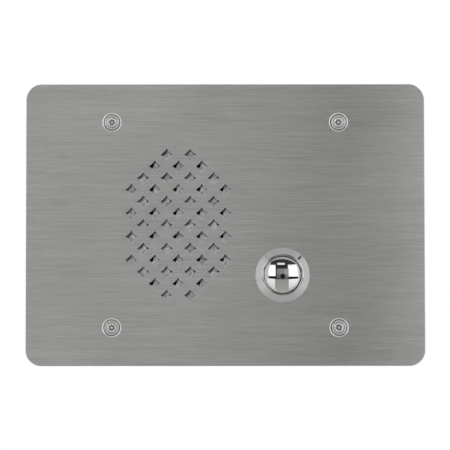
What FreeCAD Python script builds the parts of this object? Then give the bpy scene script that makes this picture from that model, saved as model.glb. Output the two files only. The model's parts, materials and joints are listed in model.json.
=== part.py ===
import FreeCAD, Part
import math
import os

# A flush intercom station on a three-gang stainless faceplate. X runs to the right, Z up, and Y into
# the wall. The origin is the middle of the plate in the plane of the wall, so the gasket's back is y = 0.

# Faceplate
plate_width = 161.925
plate_height = 114.3
plate_thickness = 3.05
plate_corner_radius = 6.35
plate_edge_round = 0.3

# Gasket between plate and wall
gasket_thickness = 1.6
gasket_inset = 2.0
gasket_band = 3.5
gasket_corner_radius = 4.0

# Screws into the wall box
box_spacing_x = 92.08
box_spacing_z = 83.34
screw_thread_radius = 1.75
screw_neck_radius = 1.35
screw_reach = 20.0
screw_tip_bevel = 0.6
screw_head_radius = 3.1
screw_head_crown = 0.6
screw_head_edge = 0.15
screw_seat_gap = 0.03
screw_hole_radius = 1.95
countersink_mouth_radius = 3.75
countersink_angle = 82.0
drive_core_radius = 1.15
drive_lobe_radius = 0.38
drive_lobe_circle = 1.22
drive_lobes = 6
drive_depth = 1.3
drive_pin_radius = 0.42
drive_pin_drop = 0.25
retainer_radius = 4.0
retainer_thickness = 0.8
retainer_gap = 0.05

# Grille of four-pointed holes
grille_x = -19.05
grille_step = 4.7625
grille_rows = (2, 3, 4, 5, 4, 5, 4, 5, 4, 5, 4, 3, 2)
grille_point = 2.56
grille_side_bow = 0.29
grille_edge_break = 0.16

# Guard plate behind the grille
guard_thickness = 0.9
guard_hole_radius = 1.3
guard_hole_shift = 2.75
guard_hole_rise = 0.3
guard_columns = 4
guard_rows = 11
cloth_thickness = 0.3

# Speaker outline and its studs
speaker_flange = 4.5
stud_outset = 3.0
ear_radius = 4.2
stud_radius = 1.42
stud_hole_radius = 1.7
stud_length = 8.6
washer_radius = 3.6
washer_thickness = 0.7
small_nut_flats = 6.35
small_nut_height = 2.4
thread_gap = 0.06
speaker_gasket_thickness = 1.6

# Speaker basket and moving parts
basket_sheet = 0.8
basket_mouth_radius = 28.5
basket_shoulder = 1.5
basket_floor_radius = 18.0
basket_depth = 13.4
basket_floor_hole = 12.0
window_width = 22.0
window_margin = 2.8
window_overrun = 5.0
rim_seat = 1.9
rim_thickness = 0.5
rim_gap = 0.2
roll_gap = 0.5
roll_width = 4.0
roll_depth = 2.0
roll_skin = 0.45
rim_land = 1.6
cone_lip_gap = 0.3
cone_lip = 0.4
cone_skin = 0.45
cone_depth = 9.2
former_radius = 8.0
former_skin = 0.25
former_front = 1.4
former_length = 10.4
glue_gap = 0.03
cap_dome_radius = 10.5
cap_dome_rise = 3.0
cap_dome_skin = 0.35
winding_skin = 0.45
winding_length = 4.0
air_gap = 0.3
spider_rim_radius = 16.8
spider_rim_width = 2.6
spider_collar = 0.9
spider_waves = 4
spider_bow = 0.5
spider_skin = 0.35
spider_lift = 0.55
pole_plate_radius = 19.0
pole_plate_thickness = 3.0
magnet_radius = 22.5
magnet_hole_radius = 12.0
magnet_thickness = 8.0
magnet_bevel = 0.8
yoke_radius = 21.5
yoke_thickness = 3.5
yoke_bevel = 0.7

# Speaker terminals and flexible leads
tongue_width = 14.0
tongue_reach = 31.0
strip_thickness = 1.2
strip_start = 23.2
strip_reach = 30.5
strip_width = 16.0
lug_spacing = 9.0
lug_width = 3.2
lug_thickness = 0.4
lug_start = 24.5
lug_reach = 34.0
lug_lead_reach = 32.3
rivet_radius = 1.2
rivet_height = 0.6
rivet_reach = 26.8
tinsel_radius = 0.4
tinsel_start_reach = 13.5
tinsel_steps = (3.2, 10.5)
tinsel_rises = (0.4, 1.2, 1.9)

# Push button
button_z = -20.35
button_clearance = 1.9
bezel_radius = 11.0
bezel_rise = 2.75
bezel_edge = 0.15
bezel_lip_radius = 8.5
bezel_bevel = 0.4
cap_radius = 7.35
running_gap = 0.3
cap_sphere_radius = 10.6
cap_skirt = 5.45
cap_wall = 1.35
cap_crown = 2.95
press_travel = 2.2
barrel_radius = 9.4
barrel_length = 15.6
barrel_hole_gap = 0.2
spring_well_radius = 5.6
web_front = 6.0
web_thickness = 2.0
stem_radius = 2.5
stem_guide_gap = 0.3
rear_bore_radius = 7.5
bezel_seal_width = 0.65
bezel_seal_height = 0.5
seal_fit_gap = 0.03
cap_seal_section = 0.35
cap_seal_gap = 0.1
cap_seal_drop = 3.35
clip_radius = 4.5
clip_thickness = 0.8
clip_groove = 0.5
clip_slot = 3.4
nut_flats = 22.0
nut_height = 3.5
nut_bevel = 0.6
nut_gap = 0.1
lock_washer_radius = 12.0
lock_washer_thickness = 0.7
lock_washer_teeth = 12
lock_washer_tooth_radius = 0.9
spring_mean_radius = 4.4
spring_wire_radius = 0.35
spring_turns = 6
spring_bends_per_turn = 12
spring_seat_gap = 0.1

# Switch block behind the button
switch_width = 17.0
switch_corner_radius = 2.0
switch_depth = 13.0
spigot_length = 4.0
spigot_gap = 0.1
clip_room_radius = 4.95
switch_guide = 3.5
bridge_length = 11.4
bridge_width = 3.4
bridge_thickness = 0.5
bridge_gap = 2.5
chamber_length = 13.0
stem_tip_radius = 1.2
stem_tip_gap = 0.05
stem_head_radius = 1.8
stem_head_height = 0.5
contact_inner = 2.6
contact_outer = 5.9
contact_thickness = 0.5
contact_width = 3.0
switch_back_thickness = 2.0
slot_gap = 0.1
contact_reach = 7.0

# Circuit board on standoffs
board_clearance = 1.2
board_width = 31.0
board_height = 68.0
board_thickness = 1.6
board_corner_radius = 1.5
board_hole_inset_x = 3.5
board_hole_inset_z = 4.0
board_hole_radius = 1.6
standoff_flats = 5.0
standoff_length = 12.7
standoff_bore = 8.0
board_screw_radius = 1.42
board_screw_head_radius = 2.7
board_screw_head_height = 1.9
board_screw_length = 7.5
cross_width = 0.7
cross_length = 3.0
cross_depth = 1.1

# Wire terminals
terminal_poles = 6
terminal_pitch = 5.0
terminal_depth = 9.0
terminal_height = 11.0
terminal_edge_inset = 0.5
terminal_shoulder = 3.0
entry_width = 3.6
entry_height = 3.8
entry_lift = 1.6
clamp_wall = 0.5
clamp_gap = 0.1
clamp_depth = 4.5
clamp_screw_radius = 1.5
clamp_screw_well = 1.75
clamp_screw_recess = 1.2
clamp_screw_slot = 0.6
clamp_screw_slot_depth = 0.9

# Line transformer
core_stack = 9.0
core_length = 20.0
core_height = 15.0
core_limb = 3.0
core_window = 4.0
core_offset_x = -3.0
core_z = 12.0
coil_gap = 0.15
coil_build = 2.6

# Amplifier, capacitors and trimmer
chip_size = 9.0
chip_height = 1.8
chip_offset_x = -3.5
chip_z = -8.0
sink_size = 13.0
sink_base = 2.0
sink_height = 9.0
sink_fins = 5
sink_fin = 1.2
capacitor_places = ((-5.5, -21.0, 4.0, 12.0), (3.5, -21.0, 4.0, 12.0), (-1.0, -30.0, 2.6, 7.0))
capacitor_groove = 0.3
capacitor_groove_lift = 1.8
small_chip_length = 3.2
small_chip_width = 1.6
small_chip_height = 0.9
small_chip_places = (
    (9.9, -18.4), (13.5, -18.4), (9.9, -21.6), (13.5, -21.6), (13.5, -24.8), (5.1, -30.4),
    (-7.1, -28.2), (-7.1, -31.4), (-5.3, 26.4), (-0.7, 26.4), (-5.3, 29.6), (-0.7, 29.6), (3.9, 29.6),
)
trimmer_offset_x = 10.0
trimmer_z = 22.5
trimmer_size = 6.6
trimmer_height = 4.6
trimmer_rotor_radius = 1.7
trimmer_rotor_height = 1.6
trimmer_rotor_rise = 0.5
trimmer_gap = 0.3
trimmer_slot = 0.6
trimmer_slot_depth = 0.7

# Plug-in connectors and insulated leads
speaker_header_z = 2.0
button_header_z = -20.15
header_width = 4.6
header_length = 8.0
header_height = 6.0
header_wall = 0.6
header_floor = 1.5
plug_gap = 0.1
plug_height = 6.3
lead_radius = 0.7
lead_pitch = 2.5
speaker_lead_steps = (6.0, 14.5)
speaker_lead_rises = (5.0, 10.5, 13.0, 12.4)
speaker_lead_turn = 3.0
speaker_lead_drop = 4.5
button_lead_over = 3.5
button_lead_stagger = 1.5
button_lead_rises = (2.5, 3.5, 2.0)
button_lead_step = 3.0
button_lead_turn = 2.6
button_lead_drop = 10.5

# Depths worked out from the values above
plate_back = -gasket_thickness
plate_front = plate_back - plate_thickness
countersink_slope = math.tan(math.radians(countersink_angle / 2))
guard_back = plate_back + guard_thickness
cloth_back = guard_back + cloth_thickness
flange_front = cloth_back + speaker_gasket_thickness
flange_back = flange_front + basket_sheet
basket_floor_back = flange_front + basket_depth + basket_sheet
basket_floor_front = basket_floor_back - basket_sheet
pole_plate_back = basket_floor_back + pole_plate_thickness
magnet_back = pole_plate_back + magnet_thickness
yoke_back = magnet_back + yoke_thickness
strip_back = basket_floor_back + strip_thickness
speaker_radius = basket_mouth_radius + speaker_flange
stud_circle = speaker_radius + stud_outset
speaker_to_button = speaker_radius + button_clearance + lock_washer_radius
button_x = grille_x + math.sqrt(speaker_to_button ** 2 - button_z ** 2)
rim_radius = basket_mouth_radius + rim_seat
roll_outer_radius = basket_mouth_radius - roll_gap
roll_inner_radius = roll_outer_radius - roll_width
rim_inner_radius = roll_inner_radius - rim_land
cone_lip_radius = roll_inner_radius - cone_lip_gap
cone_neck_radius = former_radius + former_skin + glue_gap
winding_radius = former_radius + former_skin + winding_skin
bore_radius = cap_radius + running_gap
lip_front = plate_front - bezel_rise
skirt_back = lip_front + cap_skirt
well_front = skirt_back + press_travel + running_gap
barrel_back = plate_back + barrel_length
web_back = web_front + web_thickness
switch_back_front = barrel_back + switch_depth
bridge_front = barrel_back + switch_guide + bridge_gap
contact_front = bridge_front + bridge_thickness + press_travel + running_gap
board_front = plate_back + standoff_length
board_back = board_front + board_thickness
plug_back = board_back + header_floor + plug_height
board_x = button_x + nut_flats / math.sqrt(3) + board_clearance + board_width / 2
core_x = board_x + core_offset_x
chip_x = board_x + chip_offset_x
trimmer_x = board_x + trimmer_offset_x
header_x = board_x - board_width / 2 + header_width / 2


def vector(x, y, z):
    return FreeCAD.Vector(x, y, z)


def disc(radius, front, back, x=0.0, z=0.0):
    return Part.makeCylinder(radius, back - front, vector(x, front, z), vector(0, 1, 0))


def ring(outer, inner, front, back, x=0.0, z=0.0):
    return disc(outer, front, back, x, z).cut(disc(inner, front, back, x, z))


def block(x_low, x_high, front, back, z_low, z_high):
    corner = vector(x_low, front, z_low)
    return Part.makeBox(x_high - x_low, back - front, z_high - z_low, corner)


def middle_block(x, z, width, height, front, back):
    return block(x - width / 2, x + width / 2, front, back, z - height / 2, z + height / 2)


def rounded_slab(width, height, radius, front, back, x=0.0, z=0.0):
    slab = middle_block(x, z, width, height, front, back)
    corners = [edge for edge in slab.Edges if abs(edge.tangentAt(edge.FirstParameter).y) > 0.99]
    return slab.makeFillet(radius, corners)


def extruded(corners, front, back):
    points = [vector(x, front, z) for x, z in corners]
    return Part.Face(Part.makePolygon(points + points[:1])).extrude(vector(0, back - front, 0))


def hexagon(across_flats, front, back, x, z):
    reach = across_flats / math.sqrt(3)
    angles = [math.radians(30 + 60 * side) for side in range(6)]
    return extruded([(x + reach * math.cos(a), z + reach * math.sin(a)) for a in angles], front, back)


def turned(outline, x, z):
    """Turn an outline of (radius, depth) steps about the Y line through x, z.

    An arc step is a middle and an end.
    """
    places = [[vector(x + radius, depth, z) for radius, depth in step] for step in outline]
    edges = []
    for before, step in zip(places[-1:] + places[:-1], places):
        start = before[-1]
        if len(step) == 2:
            edges.append(Part.Arc(start, step[0], step[1]).toShape())
        else:
            edges.append(Part.LineSegment(start, step[0]).toShape())
    face = Part.Face(Part.Wire(edges))
    return face.revolve(vector(x, 0, z), vector(0, 1, 0), 360)


def corners_of(*points):
    return [[point] for point in points]


def lead_tube(points, radius):
    """A round lead along straight runs joined by tangent arcs, each as large as its two runs allow."""
    path = [vector(*point) for point in points]
    edges = []
    start = path[0]
    for before, corner, after in zip(path, path[1:], path[2:]):
        inward = corner - before
        outward = after - corner
        turn = inward.getAngle(outward)
        trim = 0.45 * min(inward.Length, outward.Length)
        reach = trim / math.tan(turn / 2)
        enter = corner - inward.normalize() * trim
        leave = corner + outward.normalize() * trim
        toward = (enter + leave) * 0.5 - corner
        to_centre = math.hypot(reach, trim)
        middle = corner + toward.normalize() * (to_centre - reach)
        edges.append(Part.LineSegment(start, enter).toShape())
        edges.append(Part.Arc(enter, middle, leave).toShape())
        start = leave
    edges.append(Part.LineSegment(start, path[-1]).toShape())
    wire = Part.Wire(edges)
    direction = path[1] - path[0]
    section = Part.Wire(Part.Circle(path[0], direction, radius).toShape())
    return wire.makePipeShell([section], True, False)


def save(name, pieces):
    solids = [solid for piece in pieces for solid in piece.Solids]
    shape = solids[0] if len(solids) == 1 else Part.makeCompound(solids)
    shape.exportStep("parts/" + name + ".step")


# Places that repeat

def box_screw_places():
    return [(x * box_spacing_x / 2, z * box_spacing_z / 2) for x in (-1, 1) for z in (-1, 1)]


def speaker_stud_places():
    offset = stud_circle * math.sqrt(0.5)
    return [(grille_x + x * offset, z * offset) for x in (-1, 1) for z in (-1, 1)]


def standoff_places():
    x_offset = board_width / 2 - board_hole_inset_x
    z_offset = board_height / 2 - board_hole_inset_z
    return [(board_x + x * x_offset, z * z_offset) for x in (-1, 1) for z in (-1, 1)]


def grille_places():
    top = (len(grille_rows) - 1) / 2
    places = []
    for row, count in enumerate(grille_rows):
        for column in range(count):
            places.append((grille_x + (2 * column - count + 1) * grille_step, (top - row) * grille_step))
    return places


def guard_hole_places():
    places = []
    for column in range(guard_columns):
        x = grille_x + (2 * column - guard_columns + 1) * grille_step + guard_hole_shift
        for row in range(guard_rows):
            places.append((x, (row - (guard_rows - 1) / 2) * grille_step + guard_hole_rise))
    return places


# Faceplate and what fastens it

def four_pointed_wire(point, depth):
    bow = grille_side_bow * point / grille_point
    tips = [vector(x * point, depth, z * point) for x, z in ((1, 0), (0, 1), (-1, 0), (0, -1))]
    edges = []
    for tip, following in zip(tips, tips[1:] + tips[:1]):
        middle = (tip + following) * 0.5
        inward = vector(-middle.x, 0, -middle.z).normalize()
        edges.append(Part.Arc(tip, middle + inward * bow, following).toShape())
    return Part.Wire(edges)


def grille_punch():
    outline = Part.Face(four_pointed_wire(grille_point, plate_front - 1))
    straight = outline.extrude(vector(0, plate_thickness + 2, 0))
    wide = four_pointed_wire(grille_point + 2 * grille_edge_break, plate_front - grille_edge_break)
    narrow = four_pointed_wire(grille_point, plate_front + grille_edge_break)
    return straight.fuse(Part.makeLoft([wide, narrow], True, True))


def countersink_cut(x, z):
    shoulder = plate_front + (countersink_mouth_radius - screw_hole_radius) / countersink_slope
    outline = corners_of(
        (0, plate_front - 1),
        (countersink_mouth_radius + countersink_slope, plate_front - 1),
        (screw_hole_radius, shoulder),
        (screw_hole_radius, plate_back + 1),
        (0, plate_back + 1),
    )
    return turned(outline, x, z)


def make_faceplate():
    plate = rounded_slab(plate_width, plate_height, plate_corner_radius, plate_front, plate_back)
    front_face = min(plate.Faces, key=lambda face: face.CenterOfMass.y)
    plate = plate.makeFillet(plate_edge_round, front_face.Edges)
    punch = grille_punch()
    cuts = []
    for x, z in grille_places():
        cuts.append(punch.translated(vector(x, 0, z)))
    for x, z in box_screw_places():
        cuts.append(countersink_cut(x, z))
    cuts.append(disc(barrel_radius + barrel_hole_gap, plate_front - 1, plate_back + 1, button_x, button_z))
    return plate.cut(cuts)


def make_plate_screw(x, z):
    rim = plate_front + (countersink_mouth_radius - screw_head_radius) / countersink_slope - screw_seat_gap
    crown = rim - screw_head_edge - screw_head_crown
    seat_end = rim + (screw_head_radius - screw_neck_radius) / countersink_slope
    half = screw_head_radius / 2
    sphere = (screw_head_radius ** 2 + screw_head_crown ** 2) / (2 * screw_head_crown)
    half_depth = crown + sphere - math.sqrt(sphere ** 2 - half ** 2)
    outline = [
        [(0, crown)],
        [(half, half_depth), (screw_head_radius, rim - screw_head_edge)],
        [(screw_head_radius, rim)],
        [(screw_neck_radius, seat_end)],
        [(screw_neck_radius, 0)],
        [(screw_thread_radius, 0)],
        [(screw_thread_radius, screw_reach)],
        [(screw_thread_radius - screw_tip_bevel, screw_reach + screw_tip_bevel)],
        [(0, screw_reach + screw_tip_bevel)],
    ]
    drive = disc(drive_core_radius, crown - 1, crown + drive_depth, x, z)
    for lobe in range(drive_lobes):
        angle = math.radians(90 + 360 * lobe / drive_lobes)
        lobe_x = x + drive_lobe_circle * math.cos(angle)
        lobe_z = z + drive_lobe_circle * math.sin(angle)
        drive = drive.fuse(disc(drive_lobe_radius, crown - 1, crown + drive_depth, lobe_x, lobe_z))
    drive = drive.cut(disc(drive_pin_radius, crown + drive_pin_drop, crown + drive_depth, x, z))
    return turned(outline, x, z).cut(drive)


def make_screw_retainer(x, z):
    back = plate_back + retainer_thickness
    return ring(retainer_radius, screw_neck_radius + retainer_gap, plate_back, back, x, z)


def make_wall_gasket():
    width = plate_width - 2 * gasket_inset
    height = plate_height - 2 * gasket_inset
    outer = rounded_slab(width, height, gasket_corner_radius, plate_back, 0)
    inner_width = width - 2 * gasket_band
    inner_height = height - 2 * gasket_band
    return outer.cut(rounded_slab(inner_width, inner_height, gasket_corner_radius, plate_back, 0))


# Layers between plate and speaker

def eared_slab(front, back, hole_radius):
    slab = disc(speaker_radius, front, back, grille_x)
    for x, z in speaker_stud_places():
        side_x = -z * ear_radius / stud_circle
        side_z = (x - grille_x) * ear_radius / stud_circle
        outline = [
            (grille_x + side_x, side_z),
            (x + side_x, z + side_z),
            (x - side_x, z - side_z),
            (grille_x - side_x, -side_z),
        ]
        arm = extruded(outline, front, back)
        slab = slab.fuse([arm, disc(ear_radius, front, back, x, z)])
    slab = slab.cut([disc(hole_radius, front - 1, back + 1, x, z) for x, z in speaker_stud_places()])
    return slab.removeSplitter()


def make_probe_guard():
    guard = eared_slab(plate_back, guard_back, stud_hole_radius)
    holes = [disc(guard_hole_radius, plate_back - 1, guard_back + 1, x, z) for x, z in guard_hole_places()]
    return guard.cut(holes)


def make_grille_cloth():
    return eared_slab(guard_back, cloth_back, stud_hole_radius)


def make_speaker_gasket():
    gasket = eared_slab(cloth_back, flange_front, stud_hole_radius)
    return gasket.cut(disc(rim_radius + rim_gap, cloth_back - 1, flange_front + 1, grille_x))


def make_speaker_stud(x, z):
    return disc(stud_radius, plate_back, plate_back + stud_length, x, z)


def make_speaker_washer(x, z):
    return ring(washer_radius, stud_radius + thread_gap, flange_back, flange_back + washer_thickness, x, z)


def make_speaker_nut(x, z):
    front = flange_back + washer_thickness
    back = front + small_nut_height
    return hexagon(small_nut_flats, front, back, x, z).cut(disc(stud_radius + thread_gap, front, back, x, z))


# Speaker

def make_speaker_frame():
    shoulder = flange_back + basket_shoulder
    flange = eared_slab(flange_front, flange_back, stud_hole_radius)
    flange = flange.cut(disc(basket_mouth_radius, flange_front - 1, flange_back + 1, grille_x))
    bowl = turned(corners_of(
        (basket_mouth_radius, flange_front),
        (basket_mouth_radius, shoulder),
        (basket_floor_radius, basket_floor_front),
        (basket_floor_hole, basket_floor_front),
        (basket_floor_hole, basket_floor_back),
        (basket_floor_radius + basket_sheet, basket_floor_back),
        (basket_mouth_radius + basket_sheet, shoulder),
        (basket_mouth_radius + basket_sheet, flange_front),
    ), grille_x, 0)
    window_front = shoulder + window_margin / 2
    window_back = basket_floor_front - window_margin
    near = basket_floor_hole
    far = basket_mouth_radius + window_overrun
    half = window_width / 2
    bowl = bowl.cut([
        block(grille_x + near, grille_x + far, window_front, window_back, -half, half),
        block(grille_x - far, grille_x - near, window_front, window_back, -half, half),
        block(grille_x - half, grille_x + half, window_front, window_back, near, far),
        block(grille_x - half, grille_x + half, window_front, window_back, -far, -near),
    ])
    tongue_start = grille_x + (basket_floor_hole + basket_floor_radius) / 2
    half_tongue = tongue_width / 2
    tongue_end = grille_x + tongue_reach
    front = basket_floor_front
    back = basket_floor_back
    tongue = block(tongue_start, tongue_end, front, back, -half_tongue, half_tongue)
    return flange.fuse([bowl, tongue]).removeSplitter()


def make_speaker_surround():
    rim_front = flange_front - rim_thickness
    roll_middle = (roll_outer_radius + roll_inner_radius) / 2
    outline = [
        [(rim_radius, rim_front)],
        [(rim_radius, flange_front)],
        [(roll_outer_radius, flange_front)],
        [(roll_middle, flange_front + roll_depth), (roll_inner_radius, flange_front)],
        [(rim_inner_radius, flange_front)],
        [(rim_inner_radius, rim_front)],
        [(roll_inner_radius + roll_skin, rim_front)],
        [(roll_middle, flange_front + roll_depth - roll_skin), (roll_outer_radius - roll_skin, rim_front)],
    ]
    return turned(outline, grille_x, 0)


def cone_front_depth(radius):
    """Depth of the cone's front surface at a radius."""
    share = (rim_inner_radius - radius) / (rim_inner_radius - cone_neck_radius)
    return flange_front + share * cone_depth


def make_speaker_cone():
    neck_front = flange_front + cone_depth
    slope = cone_depth / (rim_inner_radius - cone_neck_radius)
    skin = cone_skin * math.hypot(1, slope)
    lip_back = flange_front + cone_lip
    back_start = rim_inner_radius + (skin - cone_lip) / slope
    return turned(corners_of(
        (cone_lip_radius, flange_front),
        (cone_lip_radius, lip_back),
        (back_start, lip_back),
        (cone_neck_radius, neck_front + skin),
        (cone_neck_radius, neck_front),
        (rim_inner_radius, flange_front),
    ), grille_x, 0)


def make_dust_cap():
    edge = cone_front_depth(cap_dome_radius) - glue_gap
    apex = edge - cap_dome_rise
    sphere = (cap_dome_radius ** 2 + cap_dome_rise ** 2) / (2 * cap_dome_rise)
    centre = apex + sphere
    inner_sphere = sphere - cap_dome_skin
    inner_edge_radius = cap_dome_radius - cap_dome_skin
    half = cap_dome_radius / 2
    outline = [
        [(0, apex)],
        [(half, centre - math.sqrt(sphere ** 2 - half ** 2)), (cap_dome_radius, edge)],
        [(inner_edge_radius, centre - math.sqrt(inner_sphere ** 2 - inner_edge_radius ** 2))],
        [(half, centre - math.sqrt(inner_sphere ** 2 - half ** 2)), (0, apex + cap_dome_skin)],
    ]
    return turned(outline, grille_x, 0)


def former_front_depth():
    return flange_front + cone_depth - former_front


def winding_middle_depth():
    return basket_floor_back + pole_plate_thickness / 2


def make_coil_former():
    front = former_front_depth()
    return ring(former_radius + former_skin, former_radius, front, front + former_length, grille_x)


def make_coil_winding():
    middle = winding_middle_depth()
    front = middle - winding_length / 2
    back = middle + winding_length / 2
    return ring(winding_radius, former_radius + former_skin, front, back, grille_x)


def make_spider():
    skin_back = basket_floor_front - spider_lift
    skin_front = skin_back - spider_skin
    collar_radius = cone_neck_radius + spider_collar
    wave_end = spider_rim_radius - spider_rim_width
    wave = (wave_end - collar_radius) / spider_waves
    outline = corners_of(
        (cone_neck_radius, skin_back),
        (cone_neck_radius, skin_front),
        (collar_radius, skin_front),
    )
    for step in range(spider_waves):
        side = -1 if step % 2 == 0 else 1
        start = collar_radius + step * wave
        outline.append([(start + wave / 2, skin_front + side * spider_bow), (start + wave, skin_front)])
    rim_front = basket_floor_front - spider_skin
    outline += corners_of(
        (wave_end + spider_lift, rim_front),
        (spider_rim_radius, rim_front),
        (spider_rim_radius, basket_floor_front),
        (wave_end + spider_lift, basket_floor_front),
        (wave_end, skin_back),
    )
    for step in reversed(range(spider_waves)):
        side = -1 if step % 2 == 0 else 1
        start = collar_radius + step * wave
        outline.append([(start + wave / 2, skin_back + side * spider_bow), (start, skin_back)])
    return turned(outline, grille_x, 0)


def make_front_pole_plate():
    return ring(pole_plate_radius, winding_radius + air_gap, basket_floor_back, pole_plate_back, grille_x)


def make_ring_magnet():
    return turned(corners_of(
        (magnet_hole_radius, pole_plate_back),
        (magnet_radius - magnet_bevel, pole_plate_back),
        (magnet_radius, pole_plate_back + magnet_bevel),
        (magnet_radius, magnet_back - magnet_bevel),
        (magnet_radius - magnet_bevel, magnet_back),
        (magnet_hole_radius, magnet_back),
    ), grille_x, 0)


def make_rear_yoke():
    pole_radius = former_radius - air_gap
    return turned(corners_of(
        (0, basket_floor_back),
        (pole_radius, basket_floor_back),
        (pole_radius, magnet_back),
        (yoke_radius, magnet_back),
        (yoke_radius, yoke_back - yoke_bevel),
        (yoke_radius - yoke_bevel, yoke_back),
        (0, yoke_back),
    ), grille_x, 0)


def make_terminal_strip():
    half = strip_width / 2
    return block(grille_x + strip_start, grille_x + strip_reach, basket_floor_back, strip_back, -half, half)


def make_speaker_lug(z):
    back = strip_back + lug_thickness
    low = z - lug_width / 2
    high = z + lug_width / 2
    blade = block(grille_x + lug_start, grille_x + lug_reach, strip_back, back, low, high)
    return blade.fuse(disc(rivet_radius, strip_back, back + rivet_height, grille_x + rivet_reach, z))


def make_tinsel_lead(z):
    start_radius = math.hypot(tinsel_start_reach, z)
    slope = cone_depth / (rim_inner_radius - cone_neck_radius)
    start = cone_front_depth(start_radius) + (cone_skin + tinsel_radius) * math.hypot(1, slope)
    window_middle = (flange_back + basket_shoulder + basket_floor_front) / 2
    return lead_tube([
        (grille_x + tinsel_start_reach, start, z),
        (grille_x + tinsel_start_reach + tinsel_steps[0], window_middle + tinsel_rises[0], z),
        (grille_x + tinsel_start_reach + tinsel_steps[1], window_middle + tinsel_rises[1], z),
        (grille_x + lug_lead_reach, window_middle + tinsel_rises[2], z),
        (grille_x + lug_lead_reach, strip_back, z),
    ], tinsel_radius)


# Push button

def make_button_bezel():
    seal_radius = barrel_radius + bezel_seal_width
    return turned(corners_of(
        (barrel_radius, barrel_back),
        (barrel_radius, plate_front - bezel_seal_height),
        (seal_radius, plate_front - bezel_seal_height),
        (seal_radius, plate_front),
        (bezel_radius, plate_front),
        (bezel_radius, plate_front - bezel_edge),
        (bezel_lip_radius, lip_front),
        (bore_radius + bezel_bevel, lip_front),
        (bore_radius, lip_front + bezel_bevel),
        (bore_radius, well_front),
        (spring_well_radius, well_front),
        (spring_well_radius, web_front),
        (stem_radius + stem_guide_gap, web_front),
        (stem_radius + stem_guide_gap, web_back),
        (rear_bore_radius, web_back),
        (rear_bore_radius, barrel_back),
    ), button_x, button_z)


def make_bezel_seal():
    inner = barrel_radius + seal_fit_gap
    outer = barrel_radius + bezel_seal_width - seal_fit_gap
    return ring(outer, inner, plate_front - bezel_seal_height, plate_front, button_x, button_z)


def clip_front_depth():
    return web_back + running_gap


def cap_seal_depth():
    return lip_front + cap_seal_drop


def cap_seal_circle():
    return bore_radius - cap_seal_gap - cap_seal_section


def make_button_cap():
    rise = cap_sphere_radius - math.sqrt(cap_sphere_radius ** 2 - cap_radius ** 2)
    apex = lip_front - rise
    half = cap_radius / 2
    half_depth = apex + cap_sphere_radius - math.sqrt(cap_sphere_radius ** 2 - half ** 2)
    inner = cap_radius - cap_wall
    seat = lip_front + cap_crown
    groove_radius = cap_seal_circle() - cap_seal_section
    groove_front = cap_seal_depth() - cap_seal_section
    groove_back = cap_seal_depth() + cap_seal_section
    clip_front = clip_front_depth()
    clip_back = clip_front + clip_thickness
    bridge_back = bridge_front + bridge_thickness
    outline = [
        [(0, apex)],
        [(half, half_depth), (cap_radius, lip_front)],
        [(cap_radius, groove_front)],
        [(groove_radius, groove_front)],
        [(groove_radius, groove_back)],
        [(cap_radius, groove_back)],
        [(cap_radius, skirt_back)],
        [(inner, skirt_back)],
        [(inner, seat)],
        [(stem_radius, seat)],
        [(stem_radius, clip_front)],
        [(stem_radius - clip_groove, clip_front)],
        [(stem_radius - clip_groove, clip_back)],
        [(stem_radius, clip_back)],
        [(stem_radius, bridge_front)],
        [(stem_tip_radius, bridge_front)],
        [(stem_tip_radius, bridge_back)],
        [(stem_head_radius, bridge_back)],
        [(stem_head_radius, bridge_back + stem_head_height)],
        [(0, bridge_back + stem_head_height)],
    ]
    return turned(outline, button_x, button_z)


def make_cap_seal():
    centre = vector(button_x, cap_seal_depth(), button_z)
    return Part.makeTorus(cap_seal_circle(), cap_seal_section, centre, vector(0, 1, 0))


def make_return_spring():
    front = lip_front + cap_crown + spring_seat_gap + spring_wire_radius
    back = web_front - spring_seat_gap - spring_wire_radius
    height = back - front
    corner_radius = spring_mean_radius / math.cos(math.pi / spring_bends_per_turn)
    bends = spring_turns * spring_bends_per_turn
    path = []
    for bend in range(bends + 1):
        angle = 2 * math.pi * bend / spring_bends_per_turn
        x = button_x + corner_radius * math.cos(angle)
        z = button_z + corner_radius * math.sin(angle)
        path.append((x, front + height * bend / bends, z))
    return lead_tube(path, spring_wire_radius)


def make_stem_clip():
    front = clip_front_depth()
    back = front + clip_thickness
    inner = stem_radius - clip_groove + stem_tip_gap
    clip = ring(clip_radius, inner, front, back, button_x, button_z)
    half = clip_slot / 2
    return clip.cut(block(button_x - half, button_x + half, front, back, button_z - clip_radius, button_z))


def make_lock_washer():
    back = plate_back + lock_washer_thickness
    washer = ring(lock_washer_radius, barrel_radius + nut_gap, plate_back, back, button_x, button_z)
    notches = []
    for tooth in range(lock_washer_teeth):
        angle = math.radians(360 * tooth / lock_washer_teeth)
        x = button_x + lock_washer_radius * math.cos(angle)
        z = button_z + lock_washer_radius * math.sin(angle)
        notches.append(disc(lock_washer_tooth_radius, plate_back, back, x, z))
    return washer.cut(notches)


def make_bezel_nut():
    front = plate_back + lock_washer_thickness
    back = front + nut_height
    nut = hexagon(nut_flats, front, back, button_x, button_z)
    corner = nut_flats / math.sqrt(3)
    rounding = turned(corners_of(
        (0, front - 1),
        (corner + 1, front - 1),
        (corner + 1, back - nut_bevel - 1),
        (corner - 1.5, back),
        (0, back),
    ), button_x, button_z)
    nut = nut.common(rounding)
    return nut.cut(disc(barrel_radius + nut_gap, front - 1, back + 1, button_x, button_z))


# Switch block

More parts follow.
